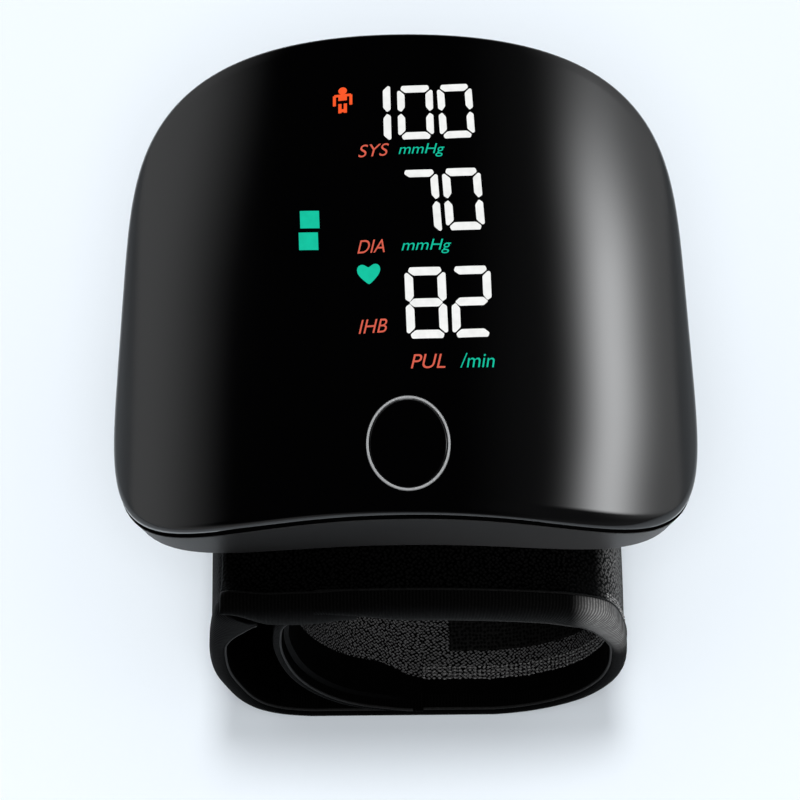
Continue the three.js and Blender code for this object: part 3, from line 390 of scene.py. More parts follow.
def tape_finish(name, pitch, dark, light, side):
    """Ribbed edge tape: cross ribs and fine threads on the piece's own millimetre map, with painted light at
    the cuff's upper right end.
    """
    tree, shader = new_finish(name, dark, 0.55, specular=0.01)
    place = tree.cloth_map()
    ribs = tree.add("TexWave", {"Vector": place, "Scale": 1 / pitch / math.pi, "Distortion": 0.4, "Detail": 1},
                    wave_type="BANDS", bands_direction="X").outputs["Fac"]
    both = tree.maths("MULTIPLY", ribs, tree.noise(place, 3, 4))
    tone = tree.tint(both, (0.1, dark), (0.6, light))
    # Light is painted on the tape at the cuff's upper right end.
    tree.wire(shader, {"Base Color": painted_side_light(tree, tone, *side)})
    tree.bump(shader, both, 0.8, 0.00008)


def lit_finish(name, tone):
    """A lit mark seen through the gloss cover."""
    tree, shader = new_finish(name, grey(0.004), 0.12)
    glow = tree.noise(tree.place(), 900)
    tree.wire(shader, {"Emission Color": tree.tint(glow, (0.25, [c * 0.9 for c in tone]), (0.6, tone)),
                       "Emission Strength": 1.0})


# Mesh helpers

def smooth_step(value):
    held = min(max(value, 0.0), 1.0)
    return held * held * (3 - 2 * held)


def ease(value, start, span):
    """Rises smoothly from 0 at start to 1 a span later."""
    return smooth_step((value - start) / span)


def value_at(value, where):
    """A size that is a number or a function of the place."""
    return value(where) if callable(value) else value


def quarter_turns(steps):
    return [math.pi / 2 * k / steps for k in range(1, steps + 1)]


def place_loop(loop, ring):
    for vert, point in zip(loop, ring):
        vert.co = point


def loop_edges(bm, loop):
    return [bm.edges.get((loop[i], loop[(i + 1) % len(loop)])) for i in range(len(loop))]


def grow_rings(bm, rings):
    """A skin that starts as a circle on the first ring and is extruded from ring to ring."""
    loop = bmesh.ops.create_circle(bm, segments=len(rings[0]), radius=1.0)["verts"]
    place_loop(loop, rings[0])
    loops = [loop]
    for ring in rings[1:]:
        made = bmesh.ops.extrude_edge_only(bm, edges=loop_edges(bm, loop))["geom"]
        fresh = {item for item in made if isinstance(item, bmesh.types.BMVert)}
        loop = [next(e.other_vert(v) for e in v.link_edges if e.other_vert(v) in fresh) for v in loop]
        place_loop(loop, ring)
        loops.append(loop)
    return loops


def close_loop(bm, loop):
    bmesh.ops.contextual_create(bm, geom=loop)


def hoop(rings):
    """A ring-shaped body: the last ring is joined to the first."""
    bm = bmesh.new()
    loops = grow_rings(bm, rings)
    bmesh.ops.bridge_loops(bm, edges=loop_edges(bm, loops[0]) + loop_edges(bm, loops[-1]))
    return bm


def capped(rings):
    """A body with a face on its first ring and on its last."""
    bm = bmesh.new()
    loops = grow_rings(bm, rings)
    close_loop(bm, loops[0])
    close_loop(bm, loops[-1])
    return bm


def link_mesh(name, bm):
    """Turns a bmesh into an object of the scene."""
    mesh = bpy.data.meshes.new(name)
    bm.to_mesh(mesh)
    bm.free()
    piece = bpy.data.objects.new(name, mesh)
    bpy.context.scene.collection.objects.link(piece)
    return piece


def shade(piece, sharp):
    for face in piece.data.polygons:
        face.use_smooth = True
    piece.data.set_sharp_from_angle(angle=math.radians(sharp))


def finish_piece(name, bm, finish, body, replaced=(), sharp=40, recalculate=True):
    """Turns a bmesh into a placed piece with its finish and body."""
    if recalculate:
        bmesh.ops.recalc_face_normals(bm, faces=bm.faces)
    piece = link_mesh(name, bm)
    shade(piece, sharp)
    piece.data.materials.append(finishes[finish])
    if body:
        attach(piece, body)
    if replaced:
        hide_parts(*replaced)
    return piece


def cut_with(piece, cutter_bm):
    """Takes a closed cutter out of a piece."""
    bmesh.ops.recalc_face_normals(cutter_bm, faces=cutter_bm.faces)
    cutter = link_mesh("cutter", cutter_bm)
    tool = piece.modifiers.new("cut", "BOOLEAN")
    tool.operation = "DIFFERENCE"
    tool.solver = "EXACT"
    tool.object = cutter
    graph = bpy.context.evaluated_depsgraph_get()
    made = bpy.data.meshes.new_from_object(piece.evaluated_get(graph))
    piece.modifiers.clear()
    spent = (piece.data, cutter.data)
    piece.data = made
    bpy.data.objects.remove(cutter)
    for mesh in spent:
        bpy.data.meshes.remove(mesh)


# Housing shape

def arch_height(h, x):
    return h.apex - h.arch_drop * abs(x / h.arch_reach) ** h.arch_power


def below_arch(h, drop=0.0):
    return lambda x: arch_height(h, x) - drop


def saddle_height(h, x, rise=0.0):
    radius = h.saddle_radius
    return h.saddle_top - radius + math.sqrt((radius + rise) ** 2 - x * x)


def plan_point(h, angle, inset, part=1.0):
    half_width = h.half_width - inset
    half_length = h.half_length - inset
    power = h.top_power if math.sin(angle) > 0 else h.bottom_power
    across = abs(math.cos(angle) / half_width) ** power
    along = abs(math.sin(angle) / half_length) ** power
    reach = (across + along) ** (-1 / power)
    y = reach * math.sin(angle)
    x = reach * math.cos(angle) * (1 - h.taper * y / half_length)
    return x * part, y * part


def edge_rounding(h, angle):
    """Radius of the cover's edge: small at the sides, larger along the front and largest to its right."""
    corner_cosine = 0.7
    growth = h.front_growth * math.cos(angle) / corner_cosine
    return h.side_radius + ease(-math.sin(angle), 0.6, 0.25) * (h.front_radius - h.side_radius + growth)


def outline_ring(h, inset, height_at, part=1.0):
    """A ring round the plan; inset is a length or a function of the angle."""
    ring = []
    for k in range(h.around):
        angle = TURN * k / h.around
        x, y = plan_point(h, angle, value_at(inset, angle), part)
        ring.append(Vector((x, y, height_at(x))))
    return ring


def oval_ring(b, count, inset, height_at):
    ring = []
    for k in range(count):
        angle = TURN * k / count
        x = b.x + (b.half_width - inset) * math.cos(angle)
        y = b.y + (b.half_length - inset) * math.sin(angle)
        ring.append(Vector((x, y, height_at(x))))
    return ring


def mixed_rings(first, second, shares, height_at):
    """Rings between two others, each at its share of the way."""
    rings = []
    for amount in shares:
        flat = [a.lerp(b, amount) for a, b in zip(first, second)]
        rings.append([Vector((p.x, p.y, height_at(p.x))) for p in flat])
    return rings


class MONITOR_OT_finishes(bpy.types.Operator):
    """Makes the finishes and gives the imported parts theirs"""
    bl_idname = "monitor.finishes"
    bl_label = "Finishes"

    def execute(self, context):
        gloss_finish("cover_gloss", (0.0004, 0.0004, 0.0005), 0.075, 0.125)
        for row in GRAINED:
            grained_finish(*row)
        for row in CLOTHS:
            cloth_finish(*row)
        rib_pitch = context.scene.monitor_cuff.rib_pitch / MM
        # The last numbers paint light on the tape at the cuff's upper right end, 70 times brighter.
        tape_finish("edge_tape", rib_pitch, grey(0.0005), grey(0.0016), (21.5, 25.5, 70))
        for name, tone in LIT.items():
            lit_finish(name, tone)
        for part in frame["record"]["subparts"]:
            node = frame["nodes"].get(part["node"])
            if node is None:
                raise RuntimeError("no packed part named " + part["node"])
            for holder in node.material_slots:
                holder.material = finishes[part["material_slot"]]
        return {"FINISHED"}


class MONITOR_OT_front_cover(bpy.types.Operator):
    """Arched gloss cover with its rounded edge, skirt and the mouth for the start button"""
    bl_idname = "monitor.front_cover"
    bl_label = "Front cover"

    def execute(self, context):
        h = context.scene.monitor_housing
        b = context.scene.monitor_button
        top, ceiling = below_arch(h), below_arch(h, h.wall)
        foot = below_arch(h, h.edge_depth + h.edge_lip)
        face_steps, edge_steps, back_steps = 40, 10, 8

        mouth = oval_ring(b, h.around, -b.slit, top)
        rim = outline_ring(h, lambda angle: edge_rounding(h, angle), top)
        rings = mixed_rings(mouth, rim, [k / face_steps for k in range(face_steps + 1)], top)
        for turn in quarter_turns(edge_steps):
            ring = outline_ring(h, lambda angle: edge_rounding(h, angle) * (1 - math.sin(turn)), top)
            for index, point in enumerate(ring):
                drop = min(edge_rounding(h, TURN * index / h.around), h.edge_depth)
                point.z -= drop * (1 - math.cos(turn))
            rings.append(ring)
        rings += [outline_ring(h, inset, foot) for inset in (h.edge_step, h.skirt_wall)]
        inner = outline_ring(h, h.skirt_wall, ceiling)
        inner_mouth = oval_ring(b, h.around, -b.slit, ceiling)
        rings += mixed_rings(inner, inner_mouth, [k / back_steps for k in range(back_steps + 1)], ceiling)
        finish_piece("cover_arched", hoop(rings), "cover_gloss", "root", ["front_cover"], 50)

        high = h.edge_depth - h.skirt_lap
        rings = [outline_ring(h, inset, below_arch(h, drop)) for inset, drop in (
            (h.skirt_inset, high), (h.skirt_draft, h.skirt), (h.skirt_wall, h.skirt), (h.skirt_wall, high))]
        # Its dull, unreflecting black is painted shade of the parting line under the cover.
        finish_piece("cover_skirt", hoop(rings), "skirt_black_painted_shade", "root")
        return {"FINISHED"}


class MONITOR_OT_start_button(bpy.types.Operator):
    """Bright trim ring and the oval cap that moves inside it"""
    bl_idname = "monitor.start_button"
    bl_label = "Start button"

    def execute(self, context):
        h = context.scene.monitor_housing
        b = context.scene.monitor_button

        def stack(*rows):
            """Oval rings, each at an inset and a height above the arch."""
            return [oval_ring(b, b.around, inset, below_arch(h, -rise)) for inset, rise in rows]

        wall, shoulder = b.ring_wall, b.ring_proud * 0.3
        rings = stack((0, -h.wall), (0, shoulder), (wall * 0.25, b.ring_proud), (wall * 0.75, b.ring_proud),
                      (wall, shoulder), (wall, -h.wall))
        finish_piece("trim_ring", hoop(rings), "ring_chrome", "root", ["button_trim_ring"], 60)

        edge = wall + b.slit
        stem = b.half_width - b.stem
        flange = edge - b.flange_reach
        underside = h.apex - b.flange_drop
        flange_top = -h.wall - b.flange_gap
        rings = [oval_ring(b, b.around, inset, lambda x: level) for inset, level in (
            (stem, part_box("start_button_cap")[0][2]), (stem, underside), (flange, underside))]
        rings += stack((flange, flange_top), (edge, flange_top), (edge, -b.cap_edge))
        rings += stack(*((edge + b.cap_edge * (1 - math.cos(turn)), -b.cap_edge * (1 - math.sin(turn)))
                         for turn in quarter_turns(4)))
        face_steps = 15
        centre = [Vector((b.x, b.y, 0))] * b.around
        rings += mixed_rings(rings[-1], centre, [k / face_steps for k in range(1, face_steps)], below_arch(h))
        finish_piece("start_cap", capped(rings), "cover_gloss", "start_button", ["start_button_cap"], 50)
        return {"FINISHED"}


class MONITOR_OT_rear_shell(bpy.types.Operator):
    """Rear tray with its wrist saddle, screw pockets, sounder holes and socket mouth"""
    bl_idname = "monitor.rear_shell"
    bl_label = "Rear shell"

    def execute(self, context):
        h = context.scene.monitor_housing
        bottom = h.rear_inset + h.rear_draft
        lip_outer = h.skirt_wall + h.lip_play
        lip_inner = lip_outer + h.lip_wall
        rim = below_arch(h, h.skirt + h.parting)
        lip = below_arch(h, h.skirt + h.parting - h.lip_rise)

        def saddle(x):
            return saddle_height(h, x)

        def tray_floor(x):
            return saddle_height(h, x, h.rear_wall)

        rings = [outline_ring(h, bottom + h.rear_edge, saddle, k / 16) for k in range(1, 17)]
        for turn in quarter_turns(8):
            inset = bottom + h.rear_edge * (1 - math.sin(turn))
            rise = h.rear_edge * (1 - math.cos(turn))
            rings.append(outline_ring(h, inset, lambda x: saddle(x) + rise))
        for part in (k / 5 for k in range(1, 6)):
            rings.append(outline_ring(h, bottom + (h.rear_inset - bottom) * part,
                                      lambda x: (saddle(x) + h.rear_edge) * (1 - part) + rim(x) * part))
        rings += [outline_ring(h, inset, height_at) for inset, height_at in (
            (lip_outer, rim), (lip_outer, lip), (lip_inner, lip),
            (lip_inner, lambda x: tray_floor(x) + h.rear_edge))]
        inner = bottom + h.rear_wall + h.rear_edge / 2
        rings += [outline_ring(h, inner, tray_floor, k / 8) for k in range(8, 0, -1)]
        piece = finish_piece("rear_tray", capped(rings), "shell_satin", "root", ["rear_housing"], 50)

        cut_with(piece, self.drills(h))
        cut_with(piece, self.socket_mouth(h))
        shade(piece, 40)
        return {"FINISHED"}

    def drills(self, h):
        """Cutters of the screw pockets and the sounder holes."""
        cutter = bmesh.new()
        pocket_reach, hole_reach = 8.8 * MM, 16 * MM

        def drill(box, across, middle, radius, depth, sides):
            low, high = box
            centre = Vector(((low[0] + high[0]) / 2 + across, (low[1] + high[1]) / 2, middle))
            bmesh.ops.create_cone(cutter, cap_ends=True, segments=sides, radius1=radius, radius2=radius,
                                  depth=depth, matrix=Matrix.Translation(centre))

        for index in range(1, 5):
            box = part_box("housing_screw_%d" % index)
            middle = box[0][2] + h.pocket_depth - pocket_reach / 2
            drill(box, 0, middle, h.pocket_radius, pocket_reach, 48)
        for step in (-1, 0, 1):
            drill(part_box("sounder"), step * h.hole_pitch, h.saddle_top, h.hole_radius, hole_reach, 32)
        return cutter

    def socket_mouth(self, h):
        """Cutter with round ends that goes through the wall in front of the charging socket."""
        low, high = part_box("charging_socket")
        overrun, reach = 3 * MM, 8 * MM
        half_height = (high[2] - low[2]) / 2 + h.socket_gap
        straight = (high[0] - low[0]) / 2 + h.socket_gap - half_height
        middle = (high[2] + low[2]) / 2
        mouth = bmesh.new()
        loop = bmesh.ops.create_circle(mouth, cap_ends=True, segments=48, radius=half_height)["verts"]
        for vert in loop:
            side = straight if vert.co.x > 0 else -straight
            vert.co = Vector((vert.co.x + side, high[1] - overrun, middle + vert.co.y))
        made = bmesh.ops.extrude_face_region(mouth, geom=mouth.faces[:])["geom"]
        fresh = [v for v in made if isinstance(v, bmesh.types.BMVert)]
        bmesh.ops.translate(mouth, verts=fresh, vec=(0, reach, 0))
        return mouth


# Display marks

MARK_RISE = 0.035 * MM
MARK_THICKNESS = 0.03 * MM
LONGEST_EDGE = 0.9 * MM
STROKE_SHARE = 0.205
SEGMENT_GAP = 0.2 * MM
CORNER_ROUNDING = 0.16 * MM
SQUARE = 2.6 * MM
HEAD_RADIUS, HEAD_HEIGHT = 0.62 * MM, 1.7 * MM

FIGURES = {
    "0": ("top", "bottom", "left_up", "left_down", "right_up", "right_down"),
    "1": ("tall_right_up", "tall_right_down"),
    "2": ("top", "middle", "bottom", "right_up", "left_down"),
    "7": ("top", "right_up", "tall_right_down"),
    "8": ("top", "middle", "bottom", "left_up", "left_down", "right_up", "right_down"),
}

# name, figure, centre x, centre y, width, height in millimetres, then turn and lean in degrees
DIGITS = (
    ("systolic_a", "1", -4.0, 22.61, 4.9, 8.3, 1.0, 0.9),
    ("systolic_b", "0", 1.78, 22.71, 4.8, 8.2, 2.5, 1.0),
    ("systolic_c", "0", 7.23, 23.11, 4.75, 8.2, 6.9, 2.9),
    ("diastolic_a", "7", 2.4, 9.37, 4.9, 9.2, 2.5, 3.4),
    ("diastolic_b", "0", 8.02, 9.86, 5.2, 9.2, 6.3, 3.4),
    ("pulse_a", "8", 2.88, -5.63, 5.4, 10.3, 2.3, 1.6),
    ("pulse_b", "2", 8.85, -5.18, 5.35, 10.3, 6.5, 1.1),
)

# name, words, finish, centre x, centre y, width, height in millimetres, turn in degrees
LEGENDS = (
    ("legend_systolic", "SYS", "lit_coral", -3.89, 17.04, 4.15, 1.85, 1.5),
    ("legend_unit_a", "mmHg", "lit_teal", 2.54, 16.95, 6.2, 2.0, 2.0),
    ("legend_diastolic", "DIA", "lit_coral", -4.31, 2.71, 3.6, 1.9, 0.5),
    ("legend_unit_b", "mmHg", "lit_teal", 3.01, 2.6, 6.6, 2.1, 2.0),
    ("legend_irregular", "IHB", "lit_coral", -4.11, -8.92, 3.75, 1.95, 1.0),
    ("legend_pulse", "PUL", "lit_coral", 2.99, -14.04, 4.5, 2.0, 2.0),
    ("legend_rate", "/min", "lit_teal", 9.4, -13.6, 4.6, 2.05, 5.0),
)

# left edge, middle height, width, height in millimetres: trunk, arms, shoulders, legs and hips of the figure
PERSON_BARS = (
    (-0.62, 0.42, 1.24, 0.8), (-1.4, 0.05, 0.42, 1.75), (0.98, 0.05, 0.42, 1.75), (-1.2, 0.9, 2.4, 0.42),
    (-0.62, -1.35, 0.46, 1.6), (0.16, -1.35, 0.46, 1.6), (-0.62, -1.75, 1.24, 0.5),
)


def flat_face(bm, corners):
    bm.faces.new([bm.verts.new((u, v, 0)) for u, v in corners])


def placed(centre_x, centre_y, turn, lean_of=None):
    """Where a point of a mark goes: widths run along turn, heights along lean_of."""
    turn = math.radians(turn)
    lean_of = turn if lean_of is None else math.radians(lean_of)

    def place(u, v):
        return (centre_x * MM + u * math.cos(turn) - v * math.sin(lean_of),
                centre_y * MM + u * math.sin(turn) + v * math.cos(lean_of))

    return place


def segment_outline(kind, a, b, tx, ty, gap):
    """Corners of one segment of a figure: half sizes a and b, stroke tx across and ty along."""
    if kind in ("top", "bottom", "middle"):
        side = {"top": 1, "bottom": -1, "middle": 0}[kind]
        middle = side * (b - ty / 2)
        tip = a - 0.25 * tx - gap
        outer = tip - (0.18 if side else 0.55) * tx
        inner = tip - (0.62 if side else 0.55) * tx
        up, down = (outer, inner) if side >= 0 else (inner, outer)
        return [(-tip, middle), (-down, middle - ty / 2), (down, middle - ty / 2), (tip, middle),
                (up, middle + ty / 2), (-up, middle + ty / 2)]
    hand = -1 if kind.startswith("left") else 1
    sign = 1 if kind.endswith("up") else -1
    outer_x, inner_x = hand * a, hand * (a - tx)
    far = b if kind.startswith("tall") else b - 0.5 * ty - gap * 0.7
    near = gap * 0.65
    return [(outer_x, sign * (near + 0.35 * ty)), (hand * (a - 0.5 * tx), sign * near),
            (inner_x, sign * (near + 0.65 * ty)), (inner_x, sign * (far - 0.65 * ty)),
            (outer_x - hand * 0.3 * tx, sign * far), (outer_x, sign * (far - 0.15 * ty))]


class MONITOR_OT_display_marks(bpy.types.Operator):
    """Lit figures, legends and pictograms of the display"""
    bl_idname = "monitor.display_marks"
    bl_label = "Display marks"

    def execute(self, context):
        self.h = context.scene.monitor_housing
        for name, figure, x, y, width, height, turn, lean_of in DIGITS:
            bm = bmesh.new()
            a, b, stroke = width / 2 * MM, height / 2 * MM, STROKE_SHARE * width * MM
            for kind in FIGURES[figure]:
                flat_face(bm, segment_outline(kind, a, b, stroke, stroke * 1.08, SEGMENT_GAP))
            bmesh.ops.bevel(bm, geom=bm.verts[:], affect="VERTICES", offset=CORNER_ROUNDING, segments=3,
                            profile=0.5, material=-1)
            self.settle("figure_" + name, bm, "lit_white", placed(x, y, turn, lean_of))
        for row in LEGENDS:
            self.legend(*row)
        self.heart()
        for name, x, y in (("mark_level_a", -12.48, 7.5), ("mark_level_b", -12.62, 4.3)):
            bm = bmesh.new()
            bmesh.ops.create_grid(bm, x_segments=4, y_segments=4, size=0.5)
            bmesh.ops.scale(bm, verts=bm.verts, vec=(SQUARE, SQUARE, 1))
            self.settle(name, bm, "lit_teal", placed(x, y, -8, 2))
        self.person()
        return {"FINISHED"}

    def settle(self, name, bm, finish, place):
        """Cuts a flat mark fine, turns it into its place and lays it on the arch."""
        long_edges = [e for e in bm.edges if e.calc_length() > LONGEST_EDGE]
        if long_edges:
            bmesh.ops.subdivide_edges(bm, edges=long_edges, cuts=3, use_grid_fill=True)
        for vert in bm.verts:
            x, y = place(vert.co.x, vert.co.y)
            vert.co = Vector((x, y, arch_height(self.h, x) + MARK_RISE))
        bmesh.ops.recalc_face_normals(bm, faces=bm.faces)
        bmesh.ops.solidify(bm, geom=bm.faces[:], thickness=MARK_THICKNESS)
        finish_piece(name, bm, finish, "root")

    def legend(self, name, words, finish, x, y, width, height, turn):
        text = bpy.data.curves.new(name, "FONT")
        text.body = words
        text.shear = 0.28
        text.size = 3 * MM
        text.offset = -0.012 * MM
        holder = bpy.data.objects.new(name, text)
        bpy.context.scene.collection.objects.link(holder)
        graph = bpy.context.evaluated_depsgraph_get()
        mesh = bpy.data.meshes.new_from_object(holder.evaluated_get(graph))
        bpy.data.objects.remove(holder)
        bpy.data.curves.remove(text)
        bm = bmesh.new()
        bm.from_mesh(mesh)
        bpy.data.meshes.remove(mesh)
        bmesh.ops.remove_doubles(bm, verts=bm.verts, dist=0.001 * MM)
        for axis, size in enumerate((width * MM, height * MM)):
            low, high = (pick(v.co[axis] for v in bm.verts) for pick in (min, max))
            for vert in bm.verts:
                vert.co[axis] = (vert.co[axis] - (low + high) / 2) * size / (high - low)
        self.settle(name, bm, finish, placed(x, y, turn))

    def heart(self):
        bm = bmesh.new()
        half_wide, half_tall = 1.62 * MM, 1.6 * MM
        curve_wide, curve_tall, curve_drop = 17, 14.5, 2.3
        for vert in bmesh.ops.create_circle(bm, cap_ends=True, segments=72, radius=1.0)["verts"]:
            t = math.atan2(vert.co.x, vert.co.y)
            u = 9 * math.sin(t) ** 3 + 7 * math.sin(t)
            v = 12.5 * math.cos(t) - 4 * math.cos(2 * t) - 1.5 * math.cos(3 * t) - 0.5 * math.cos(4 * t)
            vert.co = Vector((u * half_wide / curve_wide, (v + curve_drop) * half_tall / curve_tall, 0))
        self.settle("mark_heart", bm, "lit_teal", placed(-4.62, -1.35, 2))

    def person(self):
        bm = bmesh.new()
        bmesh.ops.create_circle(bm, cap_ends=True, segments=32, radius=HEAD_RADIUS,
                                matrix=Matrix.Translation((0, HEAD_HEIGHT, 0)))
        for left, middle, wide, tall in PERSON_BARS:
            right, low, high = left + wide, middle - tall / 2, middle + tall / 2
            corners = ((left, low), (right, low), (right, high), (left, high))
            flat_face(bm, [(u * MM, v * MM) for u, v in corners])
        bmesh.ops.scale(bm, verts=bm.verts, vec=(0.94, 0.88, 1))
        self.settle("mark_person", bm, "lit_orange", placed(-8.05, 24.95, 1, 0))


# Cuff shape: the strip's path seen from its front edge, as shares of the loop's half width and height

INNER_END = ((0.03, 0.002), (-0.185, 0.016), (-0.37, 0.082), (-0.51, 0.198),
             (-0.61, 0.355), (-0.665, 0.555), (-0.672, 0.72), (-0.63, 0.86))
TOP_SPAN = (-0.45, -0.28, -0.1, 0.1, 0.3, 0.5, 0.68)
RIGHT_SIDE = ((0.88, 0.855), (0.97, 0.707), (0.998, 0.557), (0.992, 0.415), (0.945, 0.287),
              (0.83, 0.154), (0.62, 0.047), (0.39, 0), (0.094, 0))
BOTTOM_SPAN = ((-0.254, 0), (-0.533, 0), (-0.693, 0.026), (-0.777, 0.062))
TAIL = ((-0.833, 0.103), (-0.889, 0.176), (-0.941, 0.296), (-0.976, 0.415), (-0.986, 0.535),
        (-0.978, 0.664), (-0.952, 0.775), (-0.922, 0.85), (-0.875, 0.892))

# Waves of the cloth's unevenness: pace along and across the strip, and share of its height
WAVES = ((0.31, 0.17, 0.5), (0.11, 0.43, 0.3), (0.83, -0.29, 0.2))

TINY = 1e-9
Sample = namedtuple("Sample", "along at normal")


def curve_point(p0, p1, p2, p3, t):
    """Centripetal curve through p1 and p2."""
    d0, d1, d2 = (max((b - a).length ** 0.5, TINY) for a, b in ((p0, p1), (p1, p2), (p2, p3)))
    m1 = ((p1 - p0) / d0 - (p2 - p0) / (d0 + d1) + (p2 - p1) / d1) * d1
    m2 = ((p2 - p1) / d1 - (p3 - p1) / (d1 + d2) + (p3 - p2) / d2) * d1
    return (p1 + m1 * t + (3 * (p2 - p1) - 2 * m1 - m2) * t * t
            + (2 * (p1 - p2) + m1 + m2) * t * t * t)


class Strip:
    """The whole strip's outer face as even samples, with what the cuff pieces ask of it."""

    def __init__(self, h, c):
        self.h, self.c = h, c
        points = [self.path_point(pair, c.strap + c.end_gap) for pair in INNER_END]
        for a in TOP_SPAN:
            x = c.loop_centre + c.loop_half_width * a
            points.append(Vector((x, self.top_height(x))))
        points += [self.path_point(pair) for pair in RIGHT_SIDE + BOTTOM_SPAN + TAIL]
        self.samples = self.even_samples(points)
        root_point = self.path_point(TAIL[0])
        self.root = min(self.samples, key=lambda s: (s.at - root_point).length).along
        self.split = self.root - c.bend
        self.behind = c.front + c.tape_width
        self.before = c.rear - c.tape_width

    def path_point(self, pair, base=0.0):
        c = self.c
        return Vector((c.loop_centre + c.loop_half_width * pair[0], base + (c.loop_height - base) * pair[1]))

    def even_samples(self, points, spacing=0.25 * MM, steps=24, spread=5):
        """Samples at even distances on the curve through points, with normals evened over a few."""
        ends = [2 * points[0] - points[1]] + points + [2 * points[-1] - points[-2]]
        fine = [curve_point(*ends[i:i + 4], k / steps) for i in range(len(ends) - 3) for k in range(steps)]
        fine.append(points[-1])
        rough = []
        travelled, wanted = 0.0, 0.0
        for a, b in zip(fine, fine[1:]):
            step = (b - a).length
            while wanted <= travelled + step and step > 0:
                rough.append((wanted, a.lerp(b, (wanted - travelled) / step), (b - a).normalized()))
                wanted += spacing
            travelled += step
        samples = []
        for i, (along, at, _) in enumerate(rough):
            near = [direction for _, _, direction in rough[max(0, i - spread):i + spread + 1]]
            mean = sum(near, Vector((0, 0))).normalized()
            if at.y > self.c.loop_height / 2:
                at.y = min(at.y, self.top_height(at.x))
            at.y = max(at.y, 0.0)
            samples.append(Sample(along, at, Vector((mean.y, -mean.x))))
        return samples

    def top_height(self, x):
        return saddle_height(self.h, x, -self.c.plate_wall)

    def span(self, start, end, step=1):
        """Every so many samples from start to end."""
        return [s for s in self.samples if start - TINY <= s.along <= end + TINY][::step]

    def depth(self, s):
        """Thickness of the strip at a sample."""
        c = self.c
        height = s.at.y / c.loop_height
        if s.along > self.root:
            return c.strap + c.tip_growth * ease(height, 0.66, 0.2)
        if s.along < self.root * c.flap_share:
            tip = 0.03 + 0.97 * ease(s.along, 0, 7 * MM)
            return c.strap * tip + c.pad * ease(height, 0.8, 0.17)
        return c.strap + c.pad * ease(height, 0.62, 0.31)

    def inward(self, s, depth, y):
        p = s.at + s.normal * depth
        return Vector((p.x, y, p.y))

    def piece(self, name, samples, section, finish, body="root", replaced=(), sharp=40):
        """Sweeps a section along samples and places the piece."""
        return finish_piece(name, sweep(self.c, samples, section), finish, body, replaced, sharp)

    def band(self, outer, inner, front, back, steps, wave=0.0):
        """Section of a flat band between two depths, with rounded long edges."""
        def section(s):
            top, bottom, y0, y1 = (value_at(value, s) for value in (outer, inner, front, back))
            bulge = min(abs(bottom - top) / 2, self.c.bulge)
            ring = []
            for depth, start, end, past in ((top, y0, y1, bulge), (bottom, y1, y0, -bulge)):
                for k in range(steps + 1):
                    y = start + (end - start) * k / steps
                    ring.append(self.inward(s, depth + ripple(s.along, y, wave), y))
                ring.append(self.inward(s, (top + bottom) / 2, end + past))
            return ring
        return section

    def tape(self, outer, inner, nose_at, towards):
        """Section of a rounded edge tape over the edge between two depths, ribbed at the cuff's right end."""
        c = self.c

        def section(s):
            ribbed = 0.15 + 0.85 * ease(s.at.x, 20 * MM, 4 * MM)
            rib = c.rib_height * ribbed * math.sin(TURN * s.along / c.rib_pitch)
            low, high = value_at(outer, s) - c.tape_proud, value_at(inner, s) + c.tape_proud
            middle, half = (low + high) / 2, (high - low) / 2
            nose = min(half, c.tape_nose)
            back = value_at(nose_at, s) - towards * c.tape_width
            flat = value_at(nose_at, s) - towards * nose
            tucked, tuck = back + towards * 0.12 * MM, 0.4 * MM
            profile = [(low + tuck, back), (low * 0.9, tucked)]
            profile += [(low - rib, back + (flat - back) * k / 4) for k in range(1, 5)]
            for angle in (math.pi * k / 12 for k in range(1, 12)):
                profile.append((middle - (half + rib) * math.cos(angle),
                                flat + towards * nose * math.sin(angle) ** 0.8))
            profile += [(high + rib, flat + (back - flat) * k / 4) for k in range(4)]
            profile += [(high * 0.98, tucked), (high - tuck, back)]
            return [self.inward(s, depth, y) for depth, y in profile]
        return section

    def thin_cord(self, depth_at, y_at, sides=10):
        """Section of a thin round cord at a depth of the strip and a distance along its width."""
        radius = self.c.cord

        def section(s):
            return [self.inward(s, depth_at(s) + radius * math.cos(TURN * k / sides),
                                y_at(s) + radius * math.sin(TURN * k / sides)) for k in range(sides)]
        return section

    def seam(self, outer, nose_at):
        """Section of the fold behind the tape on the strip's outer side."""
        c = self.c
        return self.thin_cord(lambda s: value_at(outer, s) + 0.1 * MM - c.tape_proud,
                              lambda s: value_at(nose_at, s) + c.tape_width)

    def piping(self, thickness):
        """Section of the piping on the inner side of the front tape."""
        c = self.c
        return self.thin_cord(lambda s: thickness(s) + c.tape_proud * 0.6,
                              lambda s: c.front + min(c.tape_nose, thickness(s) / 2 + c.tape_proud) * 0.5)


def rounded_end(thickness, distance, radius):
    """Outer and inner depth of a strip whose end, at a distance from a sample, is rounded over a radius."""
    def part(s):
        near = max(0.0, 1 - distance(s) / radius)
        return math.sqrt(max(0.0, 1 - near * near))
    return (lambda s: thickness(s) * (1 - part(s)) / 2), (lambda s: thickness(s) * (1 + part(s)) / 2)


def flare(point):
    """Lifts the cuff's front rim where it stands free of the housing, most to the left."""
    start, reach = 36.2 * MM, 4.5 * MM
    low, rise = 30 * MM, 12 * MM
    half, most = 23 * MM, 1.4
    left_lift, right_lift = 3.0 * MM, 1.4 * MM
    side = point.x / half
    lift = (left_lift if side < 0 else right_lift) * min(side * side, most)
    return Vector((0, 0, lift * ease(-point.y, start, reach) * ease(point.z, low, rise)))


def ripple(along, across, size):
    """Slow unevenness of sewn cloth."""
    return size * sum(part * math.sin((along * a + across * b) / MM) for a, b, part in WAVES)


